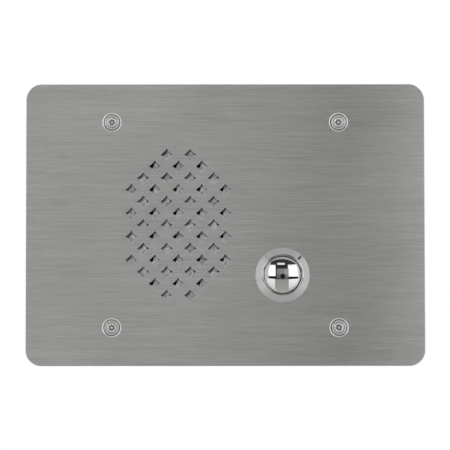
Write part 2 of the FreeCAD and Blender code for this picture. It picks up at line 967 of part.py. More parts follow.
def make_switch_block():
    front = barrel_back - spigot_length
    housing = rounded_slab(
        switch_width, switch_width, switch_corner_radius, barrel_back, switch_back_front, button_x, button_z
    )
    housing = housing.fuse(disc(rear_bore_radius - spigot_gap, front, barrel_back, button_x, button_z))
    guide_back = barrel_back + switch_guide
    guide_radius = stem_radius + stem_guide_gap
    chamber_width = 2 * guide_radius
    return housing.cut([
        disc(clip_room_radius, front - 1, barrel_back, button_x, button_z),
        disc(guide_radius, barrel_back - 1, guide_back + 1, button_x, button_z),
        middle_block(button_x, button_z, chamber_length, chamber_width, guide_back, switch_back_front + 1),
    ])


def contact_blade_middle():
    return contact_outer - contact_thickness / 2


def make_switch_back():
    back = switch_back_front + switch_back_thickness
    cover = rounded_slab(
        switch_width, switch_width, switch_corner_radius, switch_back_front, back, button_x, button_z
    )
    slot_width = contact_thickness + 2 * slot_gap
    slot_height = contact_width + 2 * slot_gap
    slots = []
    for side in (-1, 1):
        x = button_x + side * contact_blade_middle()
        slots.append(middle_block(x, button_z, slot_width, slot_height, switch_back_front - 1, back + 1))
    return cover.cut(slots)


def make_contact_bridge():
    back = bridge_front + bridge_thickness
    strip = middle_block(button_x, button_z, bridge_length, bridge_width, bridge_front, back)
    return strip.cut(disc(stem_tip_radius + stem_tip_gap, bridge_front, back, button_x, button_z))


def contact_end_depth():
    return switch_back_front + switch_back_thickness + contact_reach


def make_fixed_contact(side):
    pad_middle = button_x + side * (contact_inner + contact_outer) / 2
    pad_length = contact_outer - contact_inner
    pad_back = contact_front + contact_thickness
    pad = middle_block(pad_middle, button_z, pad_length, contact_width, contact_front, pad_back)
    blade_x = button_x + side * contact_blade_middle()
    blade = middle_block(
        blade_x, button_z, contact_thickness, contact_width, contact_front, contact_end_depth()
    )
    return pad.fuse(blade).removeSplitter()


# Circuit board

def make_standoff(x, z):
    post = hexagon(standoff_flats, plate_back, board_front, x, z)
    return post.cut(disc(board_screw_radius + thread_gap, board_front - standoff_bore, board_front, x, z))


def make_circuit_board():
    board = rounded_slab(board_width, board_height, board_corner_radius, board_front, board_back, board_x, 0)
    holes = [disc(board_hole_radius, board_front - 1, board_back + 1, x, z) for x, z in standoff_places()]
    return board.cut(holes)


def make_board_screw(x, z):
    head_back = board_back + board_screw_head_height
    half = board_screw_head_radius / 2
    crown = board_screw_head_height / 4
    outline = [
        [(0, board_back - board_screw_length)],
        [(board_screw_radius, board_back - board_screw_length)],
        [(board_screw_radius, board_back)],
        [(board_screw_head_radius, board_back)],
        [(board_screw_head_radius, head_back - 2 * crown)],
        [(half, head_back - crown / 3), (0, head_back)],
    ]
    cross_front = head_back - cross_depth
    across = middle_block(x, z, cross_length, cross_width, cross_front, head_back + 1)
    upright = middle_block(x, z, cross_width, cross_length, cross_front, head_back + 1)
    return turned(outline, x, z).cut(across.fuse(upright))


def terminal_right():
    return board_x + board_width / 2 - terminal_edge_inset


def terminal_pole_places():
    return [(pole - (terminal_poles - 1) / 2) * terminal_pitch for pole in range(terminal_poles)]


def clamp_screw_x():
    return terminal_right() - terminal_depth / 2


def make_terminal_block():
    right = terminal_right()
    left = right - terminal_depth
    half = terminal_poles * terminal_pitch / 2
    back = board_back + terminal_height
    body = block(left, right, board_back, back, -half, half)
    step = terminal_shoulder / 2
    body = body.cut(block(right - step, right + 1, back - terminal_shoulder, back + 1, -half - 1, half + 1))
    entry_front = board_back + entry_lift
    entry_left = clamp_screw_x() - clamp_depth / 2 - clamp_gap
    cuts = []
    for z in terminal_pole_places():
        low = z - entry_width / 2
        high = z + entry_width / 2
        cuts.append(block(entry_left, right + 1, entry_front, entry_front + entry_height, low, high))
        cuts.append(disc(clamp_screw_well, entry_front, back + 1, clamp_screw_x(), z))
    return body.cut(cuts)


def make_terminal_clamp(z):
    front = board_back + entry_lift + clamp_gap
    back = front + entry_height - 2 * clamp_gap
    x = clamp_screw_x()
    outer = middle_block(x, z, clamp_depth, entry_width - 2 * clamp_gap, front, back)
    hollow_width = entry_width - 2 * clamp_gap - 2 * clamp_wall
    hollow = middle_block(x, z, clamp_depth + 1, hollow_width, front + clamp_wall, back - clamp_wall)
    return outer.cut([hollow, disc(clamp_screw_radius * 0.6, back - clamp_wall - 1, back + 1, x, z)])


def make_terminal_screw(z):
    front = board_back + entry_lift + entry_height
    back = board_back + terminal_height - clamp_screw_recess
    x = clamp_screw_x()
    screw = disc(clamp_screw_radius, front, back, x, z)
    slot_front = back - clamp_screw_slot_depth
    return screw.cut(middle_block(x, z, clamp_screw_slot, 2 * clamp_screw_radius + 1, slot_front, back + 1))


def make_transformer_core():
    back = board_back + core_height
    core = middle_block(core_x, core_z, core_stack, core_length, board_back, back)
    limb = core_length / 2 - core_limb - core_window
    windows = []
    for side in (-1, 1):
        z = core_z + side * (limb + core_window / 2)
        front = board_back + core_limb
        windows.append(middle_block(core_x, z, core_stack + 2, core_window, front, back - core_limb))
    return core.cut(windows)


def make_transformer_coil():
    limb = core_length / 2 - core_limb - core_window
    front = board_back + core_limb + coil_gap
    back = board_back + core_height - core_limb - coil_gap
    width = core_stack + 2 * coil_gap + 2 * coil_build
    height = 2 * (limb + core_window - coil_gap)
    coil = rounded_slab(width, height, coil_build / 2, front, back, core_x, core_z)
    hole_width = core_stack + 2 * coil_gap
    hole_height = 2 * (limb + coil_gap)
    return coil.cut(middle_block(core_x, core_z, hole_width, hole_height, front - 1, back + 1))


def make_amplifier_chip():
    return middle_block(chip_x, chip_z, chip_size, chip_size, board_back, board_back + chip_height)


def make_heat_sink():
    front = board_back + chip_height
    sink = middle_block(chip_x, chip_z, sink_size, sink_size, front, front + sink_height)
    gap = (sink_size - sink_fins * sink_fin) / (sink_fins - 1)
    grooves = []
    for groove in range(sink_fins - 1):
        x = chip_x - sink_size / 2 + sink_fin + gap / 2 + groove * (sink_fin + gap)
        floor = front + sink_base
        grooves.append(middle_block(x, chip_z, gap, sink_size + 2, floor, front + sink_height + 1))
    return sink.cut(grooves)


def make_filter_capacitor(offset_x, z, radius, height):
    back = board_back + height
    groove = board_back + capacitor_groove_lift
    waist = radius - capacitor_groove
    edge = 2 * capacitor_groove
    return turned(corners_of(
        (0, board_back),
        (radius, board_back),
        (radius, groove - capacitor_groove),
        (waist, groove),
        (radius, groove + capacitor_groove),
        (radius, back - edge),
        (radius - edge, back),
        (0, back),
    ), board_x + offset_x, z)


def make_small_chip(offset_x, z):
    back = board_back + small_chip_height
    x = board_x + offset_x
    return middle_block(x, z, small_chip_length, small_chip_width, board_back, back)


def rotor_front_depth():
    return board_back + trimmer_height + trimmer_rotor_rise - trimmer_rotor_height


def make_trimmer_body():
    back = board_back + trimmer_height
    body = middle_block(trimmer_x, trimmer_z, trimmer_size, trimmer_size, board_back, back)
    floor = rotor_front_depth() - trimmer_gap
    return body.cut(disc(trimmer_rotor_radius + trimmer_gap, floor, back + 1, trimmer_x, trimmer_z))


def make_trimmer_rotor():
    front = rotor_front_depth()
    back = front + trimmer_rotor_height
    rotor = disc(trimmer_rotor_radius, front, back, trimmer_x, trimmer_z)
    length = 2 * trimmer_rotor_radius + 1
    slot = middle_block(trimmer_x, trimmer_z, trimmer_slot, length, back - trimmer_slot_depth, back + 1)
    return rotor.cut(slot)


# Connectors and leads

def make_header(z):
    outer = middle_block(header_x, z, header_width, header_length, board_back, board_back + header_height)
    width = header_width - 2 * header_wall
    length = header_length - 2 * header_wall
    front = board_back + header_floor
    return outer.cut(middle_block(header_x, z, width, length, front, board_back + header_height + 1))


def make_plug(z):
    width = header_width - 2 * header_wall - 2 * plug_gap
    length = header_length - 2 * header_wall - 2 * plug_gap
    return middle_block(header_x, z, width, length, board_back + header_floor, plug_back)


def make_speaker_lead(side):
    lug_x = grille_x + lug_lead_reach
    lug_back = strip_back + lug_thickness
    lug_z = side * lug_spacing / 2
    pin_z = speaker_header_z + side * lead_pitch / 2
    middle_z = (lug_z + pin_z) / 2
    rises = [lug_back + rise for rise in speaker_lead_rises]
    return lead_tube([
        (lug_x, lug_back, lug_z),
        (lug_x, rises[0], lug_z),
        (lug_x + speaker_lead_steps[0], rises[1], lug_z),
        (lug_x + speaker_lead_steps[1], rises[2], middle_z),
        (header_x - speaker_lead_turn, rises[3], pin_z),
        (header_x, plug_back + speaker_lead_drop, pin_z),
        (header_x, plug_back, pin_z),
    ], lead_radius)


def make_button_lead(side):
    lug_x = button_x + side * contact_blade_middle()
    end = contact_end_depth()
    pin_z = button_header_z + side * lead_pitch / 2
    over = button_lead_over - button_lead_stagger * side
    return lead_tube([
        (lug_x, end, button_z),
        (lug_x, end + button_lead_rises[0] + over / 2, button_z),
        (lug_x + button_lead_step + over, end + button_lead_rises[1] + over, (button_z + pin_z) / 2),
        (header_x - button_lead_turn, end + button_lead_rises[2] + over, pin_z),
        (header_x, plug_back + button_lead_drop, pin_z),
        (header_x, plug_back, pin_z),
    ], lead_radius)


def main():
    os.makedirs("parts", exist_ok=True)
    save("faceplate", [make_faceplate()])
    save("plate_screws", [make_plate_screw(x, z) for x, z in box_screw_places()])
    save("screw_retainers", [make_screw_retainer(x, z) for x, z in box_screw_places()])
    save("wall_gasket", [make_wall_gasket()])
    save("probe_guard", [make_probe_guard()])
    save("grille_cloth", [make_grille_cloth()])
    save("speaker_gasket", [make_speaker_gasket()])
    save("speaker_studs", [make_speaker_stud(x, z) for x, z in speaker_stud_places()])
    save("speaker_washers", [make_speaker_washer(x, z) for x, z in speaker_stud_places()])
    save("speaker_nuts", [make_speaker_nut(x, z) for x, z in speaker_stud_places()])
    save("speaker_frame", [make_speaker_frame()])
    save("speaker_surround", [make_speaker_surround()])
    save("speaker_cone", [make_speaker_cone()])
    save("dust_cap", [make_dust_cap()])
    save("spider", [make_spider()])
    save("coil_former", [make_coil_former()])
    save("coil_winding", [make_coil_winding()])
    save("front_pole_plate", [make_front_pole_plate()])
    save("ring_magnet", [make_ring_magnet()])
    save("rear_yoke", [make_rear_yoke()])
    save("speaker_terminal_strip", [make_terminal_strip()])
    save("speaker_lugs", [make_speaker_lug(side * lug_spacing / 2) for side in (-1, 1)])
    save("tinsel_leads", [make_tinsel_lead(side * lug_spacing / 2) for side in (-1, 1)])
    save("button_bezel", [make_button_bezel()])
    save("bezel_seal", [make_bezel_seal()])
    save("button_cap", [make_button_cap()])
    save("cap_seal", [make_cap_seal()])
    save("return_spring", [make_return_spring()])
    save("stem_clip", [make_stem_clip()])
    save("lock_washer", [make_lock_washer()])
    save("bezel_nut", [make_bezel_nut()])
    save("switch_block", [make_switch_block()])
    save("switch_back", [make_switch_back()])
    save("contact_bridge", [make_contact_bridge()])
    save("fixed_contacts", [make_fixed_contact(side) for side in (-1, 1)])
    save("board_standoffs", [make_standoff(x, z) for x, z in standoff_places()])
    save("circuit_board", [make_circuit_board()])
    save("board_screws", [make_board_screw(x, z) for x, z in standoff_places()])
    save("terminal_block", [make_terminal_block()])
    save("terminal_clamps", [make_terminal_clamp(z) for z in terminal_pole_places()])
    save("terminal_screws", [make_terminal_screw(z) for z in terminal_pole_places()])
    save("transformer_core", [make_transformer_core()])
    save("transformer_coil", [make_transformer_coil()])
    save("amplifier_chip", [make_amplifier_chip()])
    save("heat_sink", [make_heat_sink()])
    save("filter_capacitors", [make_filter_capacitor(*place) for place in capacitor_places])
    save("small_chips", [make_small_chip(*place) for place in small_chip_places])
    save("trimmer_body", [make_trimmer_body()])
    save("trimmer_rotor", [make_trimmer_rotor()])
    save("speaker_header", [make_header(speaker_header_z)])
    save("speaker_plug", [make_plug(speaker_header_z)])
    save("button_header", [make_header(button_header_z)])
    save("button_plug", [make_plug(button_header_z)])
    save("speaker_leads", [make_speaker_lead(side) for side in (-1, 1)])
    save("button_leads", [make_button_lead(side) for side in (-1, 1)])


main()
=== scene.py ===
import json
import math

import bmesh
import bpy
from mathutils import Matrix, Vector

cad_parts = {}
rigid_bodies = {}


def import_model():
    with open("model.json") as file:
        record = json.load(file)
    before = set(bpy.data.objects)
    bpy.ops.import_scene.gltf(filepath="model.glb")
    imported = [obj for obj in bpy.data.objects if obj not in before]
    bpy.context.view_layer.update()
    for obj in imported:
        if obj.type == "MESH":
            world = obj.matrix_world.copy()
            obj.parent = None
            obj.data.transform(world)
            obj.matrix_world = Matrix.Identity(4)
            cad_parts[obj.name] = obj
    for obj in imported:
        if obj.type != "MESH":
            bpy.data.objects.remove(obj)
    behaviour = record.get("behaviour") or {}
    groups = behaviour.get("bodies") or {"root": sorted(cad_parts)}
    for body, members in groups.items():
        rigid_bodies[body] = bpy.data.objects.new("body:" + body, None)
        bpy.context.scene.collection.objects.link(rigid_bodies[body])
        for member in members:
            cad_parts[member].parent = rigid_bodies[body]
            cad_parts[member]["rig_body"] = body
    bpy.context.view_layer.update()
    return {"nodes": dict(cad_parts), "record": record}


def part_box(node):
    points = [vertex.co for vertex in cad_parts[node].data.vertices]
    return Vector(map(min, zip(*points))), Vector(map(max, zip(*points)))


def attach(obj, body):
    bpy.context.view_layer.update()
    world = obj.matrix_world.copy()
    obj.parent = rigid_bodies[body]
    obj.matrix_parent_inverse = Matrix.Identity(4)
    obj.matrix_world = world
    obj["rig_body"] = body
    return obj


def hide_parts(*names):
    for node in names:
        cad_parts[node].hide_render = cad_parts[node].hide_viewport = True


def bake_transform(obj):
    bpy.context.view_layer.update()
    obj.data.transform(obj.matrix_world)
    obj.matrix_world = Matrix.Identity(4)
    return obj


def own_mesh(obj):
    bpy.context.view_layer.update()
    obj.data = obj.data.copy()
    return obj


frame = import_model()

# The intercom's plate faces -Y, X runs to its right and Z up. Its sizes are in millimetres, and MM makes
# them metres. The camera and the studio are placed in metres.
MM = 0.001
nodes = frame["nodes"]
slot_of = {part["node"]: part["material_slot"] for part in frame["record"]["subparts"]}


def middle_of(node):
    """The middle of a CAD node's box across the plate, as x and z."""
    low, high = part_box(node)
    return (low.x + high.x) / 2 / MM, (low.z + high.z) / 2 / MM


def front_of(node):
    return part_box(node)[0].y / MM


def back_of(node):
    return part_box(node)[1].y / MM


def radius_of(node):
    low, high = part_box(node)
    return (high.x - low.x) / 2 / MM


plate_front = front_of("faceplate")
plate_back = back_of("faceplate")
board_front = front_of("circuit_board")
board_back = back_of("circuit_board")
board_x, board_z = middle_of("circuit_board")
button_x, button_z = middle_of("button_bezel")
speaker_x, speaker_z = middle_of("ring_magnet")
dome_apex = front_of("button_cap")
screw_head_radius = 3.1
screw_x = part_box("plate_screws")[1].x / MM - screw_head_radius
screw_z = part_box("plate_screws")[1].z / MM - screw_head_radius

# The spring and the two membranes are flexible; the membranes, between the radii where they are held and
# where they are free, are cut into this many sectors
membrane_sectors = 12
# Turned a little, so that no cut runs along a row of the mesh's points
sector_turn = 0.02

# Camera, at the photograph's angle: straight on, a little below the middle and looking slightly up
camera_place = Vector((0.0005, -0.6000, -0.0182))
camera_yaw = math.radians(0.060)
camera_roll = math.radians(0.043)
camera_pitch = math.radians(1.741)
camera_lens = 117.5

# Studio
studio_reach = 1.5
room_light = 0.62
ceiling_light = 0.44
paper_white = (1.0, 1.0, 1.0)
floor_level = -0.35
floor_radius = 2.0

# Dome button, as the camera sees it
dome_radius = 10.6
cap_radius = 7.30
dome_slant = 0.714
# The cap stands a little to the upper left in its bore
cap_x = button_x - 0.13
cap_z = button_z + 0.04

# The bezel's flank, whose slope in degrees eases from its foot to its crown
bezel_radius = radius_of("button_bezel")
bore_radius = 7.53
barrel_radius = 9.4
foot_slope = 43.9
crown_slope = 42.6
mean_slope = 43.3
flank_width = 3.3
flank_foot = plate_front - 0.10


def make_camera():
    data = bpy.data.cameras.new("camera")
    camera = bpy.data.objects.new("camera", data)
    bpy.context.scene.collection.objects.link(camera)
    camera.location = camera_place
    camera.rotation_euler = (math.radians(90) + camera_pitch, camera_roll, camera_yaw)
    data.sensor_width = 36.0
    data.lens = camera_lens
    data.clip_start = 0.01
    bpy.context.scene.camera = camera


# Finishes

class Wire:
    """A value, colour or vector on its way through a finish, with the operators that its maths needs."""

    def __init__(self, finish, socket):
        self.finish = finish
        self.socket = socket

    def maths(self, operation, *operands):
        return self.finish.node("ShaderNodeMath", {"operation": operation}, dict(enumerate(operands)))

    def __add__(self, other):
        return self.maths("ADD", self, other)

    def __sub__(self, other):
        return self.maths("SUBTRACT", self, other)

    def __rsub__(self, other):
        return self.maths("SUBTRACT", other, self)

    def __mul__(self, other):
        return self.maths("MULTIPLY", self, other)

    def __pow__(self, other):
        return self.maths("POWER", self, other)

    def __abs__(self):
        return self.maths("ABSOLUTE", self)

    __radd__ = __add__
    __rmul__ = __mul__

    def wave(self):
        return self.maths("SINE", self)

    def fraction(self):
        return self.maths("FRACT", self)


class Finish:
    """A material of the intercom: a Principled shader, and the nodes that feed it."""

    def __init__(self, name, colour, roughness, metallic=0.0, fixed=None):
        self.name = name
        self.material = bpy.data.materials.new(name)
        self.material.use_nodes = True
        self.tree = self.material.node_tree
        self.shader = self.tree.nodes["Principled BSDF"]
        self.feed("Base Color", colour)
        self.feed("Roughness", roughness)
        self.feed("Metallic", metallic)
        for socket, value in (fixed or {}).items():
            self.feed(socket, value)
        self.here = self.node("ShaderNodeTexCoord", output="Object")

    def put(self, socket, value):
        if isinstance(value, Wire):
            self.tree.links.new(value.socket, socket)
        elif socket.type == "RGBA" and len(value) == 3:
            socket.default_value = (*value, 1.0)
        else:
            socket.default_value = value

    def feed(self, name, value):
        """Set or link one of the shader's own sockets."""
        self.put(self.shader.inputs[name], value)

    def node(self, kind, settings=None, sockets=None, output=0):
        """Add a node with its settings, then the values or links of its sockets."""
        made = self.tree.nodes.new(kind)
        for name, setting in (settings or {}).items():
            if name == "stops":
                for place, colour in setting:
                    made.color_ramp.elements.new(place).color = (*colour, 1.0)
                made.color_ramp.elements.remove(made.color_ramp.elements[0])
                made.color_ramp.elements.remove(made.color_ramp.elements[-1])
            else:
                setattr(made, name, setting)
        for name, value in (sockets or {}).items():
            self.put(made.inputs[name], value)
        return Wire(self, made.outputs[output])

    def spot(self, stretch=(1, 1, 1)):
        """The place on the piece in millimetres, with each axis scaled."""
        scale = [share / MM for share in stretch]
        return self.node("ShaderNodeVectorMath", {"operation": "MULTIPLY"}, {0: self.here, 1: scale})

    def axes(self):
        """x, y and z on the piece in millimetres."""
        apart = self.node("ShaderNodeSeparateXYZ", None, {0: self.spot()})
        return [Wire(self, socket) for socket in apart.socket.node.outputs]

    def grain(self, size, stretch=(1, 1, 1), detail=2.0, spot=None):
        """Soft noise around 0.5 whose features are about size millimetres."""
        place = self.spot(stretch) if spot is None else spot
        return self.node("ShaderNodeTexNoise", None, {"Vector": place, "Scale": 1 / size, "Detail": detail})

    def cells(self, size, output="Distance"):
        return self.node("ShaderNodeTexVoronoi", None, {"Vector": self.spot(), "Scale": 1 / size}, output)

    def passes(self, value, low, high):
        """A soft step from 0 to 1 as a value goes from low to high."""
        settings = {"interpolation_type": "SMOOTHSTEP"}
        return self.node("ShaderNodeMapRange", settings, {0: value, 1: low, 2: high, 3: 0.0, 4: 1.0})

    def blend(self, share, first, second):
        return self.node("ShaderNodeMix", {"data_type": "RGBA"}, {0: share, 6: first, 7: second}, output=2)

    def across(self, x, z):
        """Distance in millimetres from the line along Y through x, z."""
        here_x, _, here_z = self.axes()
        side = here_x - x
        rise = here_z - z
        return (side * side + rise * rise) ** 0.5

    def from_screw(self):
        """Distance in millimetres from the nearest plate screw's middle line."""
        x, _, z = self.axes()
        return ((abs(x) - screw_x) ** 2 + (abs(z) - screw_z) ** 2) ** 0.5

    def turned_spot(self, x, z, waver=0.02):
        """A place for noise that runs in rings about the line along Y through x, z."""
        here_x, here_y, here_z = self.axes()
        return self.node("ShaderNodeCombineXYZ", None, {
            0: self.across(x, z), 1: here_y, 2: (here_x - x + here_z - z) * waver,
        })

    def lean(self):
        """How far the surface faces along Y: 1 or -1 on faces level with the plate, 0 on its walls."""
        normal = self.node("ShaderNodeTexCoord", output="Normal")
        apart = self.node("ShaderNodeSeparateXYZ", None, {0: normal})
        return Wire(self, apart.socket.node.outputs["Y"])

    def relief(self, height, depth):
        """Raise the surface by up to depth millimetres where height is 1."""
        raised = {"Height": height, "Distance": depth * MM, "Strength": 1.0}
        self.feed("Normal", self.node("ShaderNodeBump", None, raised))

    def colours(self, share, dark, pale):
        """Shade the surface between two colours."""
        self.feed("Base Color", self.blend(share, dark, pale))


def coated(weight, roughness):
    """The sockets of a clear coat."""
    return {"Coat Weight": weight, "Coat Roughness": roughness}


def grained(name, colour, roughness, metallic, grain, tints, swing=None, depth=0.0, fixed=None):
    """A finish whose colour, roughness and relief follow one grain. The swing is the roughness that the
    grain adds, and what it starts from.
    """
    finish = Finish(name, colour, roughness, metallic, fixed)
    share = finish.grain(*grain)
    finish.colours(share, *tints)
    if swing:
        finish.feed("Roughness", share * swing[0] + swing[1])
    if depth:
        finish.relief(share, depth)
    return finish


def brushed_plate():
    brushed = {"Anisotropic": 1.0, "Anisotropic Rotation": 0.25}
    finish = Finish("plate_steel", (0.6, 0.6, 0.6), 0.36, 0.86, brushed)
    fine = finish.grain(0.38, (0.020, 1, 1), 3.0)
    short = finish.grain(0.28, (0.06, 1, 1), 1.0)
    broad = finish.grain(2.6, (0.022, 1, 1), 2.0)
    cloud = finish.grain(38, detail=1.0)
    share = (fine - 0.5) * 1.6 + (short - 0.5) * 0.8 + (broad - 0.5) * 0.6 + (cloud - 0.5) * 0.5 + 0.5
    face = finish.blend(share, (0.455, 0.453, 0.446), (0.630, 0.628, 0.620))
    lean = abs(finish.lean())
    # Faces that slope away from the front, the chamfers and the countersinks, are coloured pale: a painted
    # highlight.
    edge = finish.passes(lean, 0.97, 0.80)
    # Upright faces, the walls of the holes and the plate's sides, are coloured near black: painted shade.
    painted_wall_shade = finish.passes(lean, 0.40, 0.15)
    from_screw = finish.from_screw()
    # A thin ring at the mouth of each screw's countersink is coloured nearly white: a painted highlight.
    highlight_ring_radius = 3.70
    # Inside it, round each screw head, the countersink is coloured dark: a painted shadow in the gap.
    gap_shadow_radius = 3.42
    rim = finish.passes(abs(from_screw - highlight_ring_radius), 0.22, 0.10)
    painted_gap_shadow = finish.passes(from_screw, gap_shadow_radius, gap_shadow_radius - 0.18)
    _, _, z = finish.axes()
    plate_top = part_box("faceplate")[1].z / MM
    # Near the plate's top and bottom, those sloped edges are coloured dark instead: painted shade.
    painted_shade_band = finish.passes(abs(z), plate_top - 0.65, plate_top - 0.35)
    face_with_painted_edges = finish.blend(edge, face, finish.blend(painted_shade_band, (0.80, 0.80, 0.79), (0.28, 0.28, 0.28)))
    with_painted_highlight_ring = finish.blend(rim, face_with_painted_edges, (0.98, 0.98, 0.97))
    seat = finish.blend(painted_gap_shadow, with_painted_highlight_ring, (0.10, 0.10, 0.10))
    finish.colours(painted_wall_shade, seat, (0.045, 0.045, 0.045))
    finish.feed("Roughness", fine * 0.10 + 0.25)
    finish.relief(fine * 0.7 + broad * 0.3, 0.0015)
    return finish


def turned_steel(name, x, z, colour, roughness, ridge=0.0015):
    """Steel turned on a lathe about the line along Y through x, z."""
    finish = Finish(name, colour, roughness, 1.0)
    rings = finish.grain(0.22, spot=finish.turned_spot(x, z), detail=2.0)
    smear = finish.grain(5.0, detail=2.0)
    dull = tuple(part * 0.86 for part in colour)
    finish.colours(rings * 0.6 + smear * 0.4, dull, colour)
    finish.feed("Roughness", smear * (roughness * 0.7) + rings * (roughness * 0.5) + roughness * 0.4)
    finish.relief(rings, ridge)
    return finish


def mirror_chrome():
    finish = Finish("dome_chrome", (0.79, 0.79, 0.79), 0.03, 1.0)
    haze = finish.grain(3.0, detail=3.0)
    finish.feed("Roughness", haze * 0.02)
    finish.colours(haze, (0.77, 0.77, 0.765), (0.81, 0.81, 0.81))
    return finish


def galvanised():
    finish = Finish("galvanised_steel", (0.5, 0.5, 0.5), 0.6, 0.12)
    spangle = finish.cells(2.3, output="Color")
    shade = finish.node("ShaderNodeSeparateColor", None, {0: spangle})
    mottle = finish.grain(0.9, detail=4.0)
    share = shade * 0.45 + (mottle - 0.5) * 1.5 + 0.28
    finish.colours(share, (0.15, 0.162, 0.163), (0.61, 0.637, 0.637))
    finish.feed("Roughness", share * -0.25 + 0.72)
    finish.relief(mottle * 0.6 + shade * 0.4, 0.012)
    return finish


def zinc_plate():
    finish = Finish("zinc_steel", (0.6, 0.61, 0.63), 0.3, 1.0)
    tint = finish.grain(9.0, detail=2.0)
    fleck = finish.grain(0.5, detail=3.0)
    finish.colours(tint, (0.56, 0.59, 0.64), (0.70, 0.69, 0.65))
    finish.feed("Roughness", fleck * 0.14 + 0.22)
    finish.relief(fleck, 0.0012)
    return finish


def foam():
    finish = Finish("foam", (0.03, 0.03, 0.032), 0.95)
    pores = finish.cells(0.55)
    rough = finish.grain(1.6, detail=4.0)
    finish.colours(pores, (0.012, 0.012, 0.013), (0.06, 0.06, 0.062))
    finish.relief(pores * 0.7 + rough * 0.3, 0.14)
    return finish


def rubber(name, colour, roughness):
    finish = Finish(name, colour, roughness)
    skin = finish.grain(0.6, detail=4.0)
    bloom = finish.grain(6.0, detail=3.0)
    pale = tuple(part * 2.2 + 0.008 for part in colour)
    finish.colours(finish.passes(bloom, 0.45, 0.8), colour, pale)
    finish.feed("Roughness", (skin - 0.5) * 0.2 + roughness)
    finish.relief(skin, 0.02)
    return finish


def woven(name, dark, pale, pitch, roughness, sheen):
    """Cloth of threads a pitch apart, seen in the plane of the plate."""
    finish = Finish(name, dark, roughness, fixed={"Sheen Weight": sheen, "Sheen Roughness": 0.5})
    x, _, z = finish.axes()
    turn = 2 * math.pi / pitch
    warp = (x * turn).wave()
    weft = (z * turn).wave()
    # Darker where a thread dips under another: painted shade between the threads.
    over = (warp * weft) * 0.5 + 0.5
    fuzz = finish.grain(pitch * 0.7, detail=3.0)
    finish.colours(over * 0.7 + fuzz * 0.3, dark, pale)
    finish.relief(over * 0.8 + fuzz * 0.2, pitch * 0.25)
    return finish


def fibre():
    tints = ((0.30, 0.055, 0.03), (0.52, 0.14, 0.08))
    return grained("fibre", (0.42, 0.10, 0.05), 0.6, 0.0, (0.8, (1, 4, 1), 4.0), tints, depth=0.02)


def pressed_paper():
    finish = Finish("cone_paper", (0.045, 0.045, 0.05), 0.85, fixed={"Sheen Weight": 0.15})
    pulp = finish.grain(0.7, detail=5.0)
    hair = finish.grain(0.35, spot=finish.turned_spot(speaker_x, speaker_z, 0.4), detail=3.0)
    felt = pulp * 0.6 + hair * 0.4
    finish.colours(felt, (0.018, 0.018, 0.021), (0.085, 0.083, 0.088))
    finish.relief(felt, 0.05)
    return finish


def black_paint():
    finish = Finish("basket_paint", (0.03, 0.03, 0.033), 0.42, fixed=coated(0.25, 0.3))
    peel = finish.grain(0.9, detail=2.0)
    worn = finish.passes(finish.grain(2.2, detail=5.0), 0.70, 0.76)
    finish.colours(worn, (0.022, 0.022, 0.025), (0.12, 0.12, 0.125))
    finish.feed("Roughness", peel * 0.2 + 0.30)
    finish.relief(peel, 0.02)
    return finish


def ferrite():
    finish = Finish("ferrite", (0.06, 0.06, 0.065), 0.55)
    pits = finish.passes(finish.grain(0.8, detail=5.0), 0.30, 0.48)
    ground = finish.grain(0.4, (1, 0.05, 1), 2.0)
    cloud = finish.grain(7.0, detail=3.0)
    finish.colours(cloud * 0.5 + pits * 0.5, (0.022, 0.022, 0.025), (0.085, 0.085, 0.09))
    finish.feed("Roughness", ground * 0.25 + 0.38)
    finish.relief(pits, 0.05)
    return finish


def wound_copper():
    finish = Finish("winding_copper", (0.62, 0.28, 0.13), 0.3, 0.9)
    _, y, _ = finish.axes()
    # Darker in the grooves between the wire's turns: painted shade.
    turn = (y * (2 * math.pi / 0.16)).wave() * 0.5 + 0.5
    finish.colours(turn, (0.30, 0.10, 0.04), (0.78, 0.36, 0.17))
    finish.relief(turn, 0.05)
    return finish


def sheet_metal(name, dark, pale, roughness, size=0.6):
    """Plain bright metal, stamped or drawn."""
    finish = Finish(name, dark, roughness, 1.0)
    drawn = finish.grain(size, (1, 0.2, 0.2), 3.0)
    tarnish = finish.grain(3.5, detail=3.0)
    finish.colours(tarnish, dark, pale)
    finish.feed("Roughness", drawn * 0.2 + roughness - 0.1)
    finish.relief(drawn, 0.004)
    return finish


def screw_steel():
    finish = Finish("screw_steel", (0.8, 0.8, 0.8), 0.28, 0.85)
    fleck = finish.grain(0.35, detail=3.0)
    _, y, _ = finish.axes()
    crown = front_of("plate_screws")
    groove_radius = 2.17
    # Deeper than 0.4 mm into the head, down to near the plate's back, the screw is coloured dark grey:
    # painted shade in the drive recess.
    recess = finish.passes(y, crown + 0.40, crown + 0.75)
    inside = recess * finish.passes(y, plate_back, plate_back - 0.3)
    # The groove round the head's face is coloured dark: painted shade in the groove.
    ring = finish.passes(abs(finish.from_screw() - groove_radius), 0.26, 0.12)
    groove = ring * finish.passes(y, plate_back - 0.4, plate_back - 0.9)
    bare = finish.blend(fleck, (0.74, 0.74, 0.73), (1.0, 1.0, 0.99))
    front = finish.blend(groove * 0.8, bare, (0.26, 0.26, 0.26))
    painted_groove_shade_and_shank = finish.blend(finish.passes(y, plate_back - 0.3, plate_back - 0.1), front, (0.55, 0.55, 0.545))
    finish.colours(inside, painted_groove_shade_and_shank, (0.28, 0.28, 0.28))
    finish.feed("Roughness", fleck * 0.16 + 0.20)
    finish.relief(fleck, 0.010)
    return finish


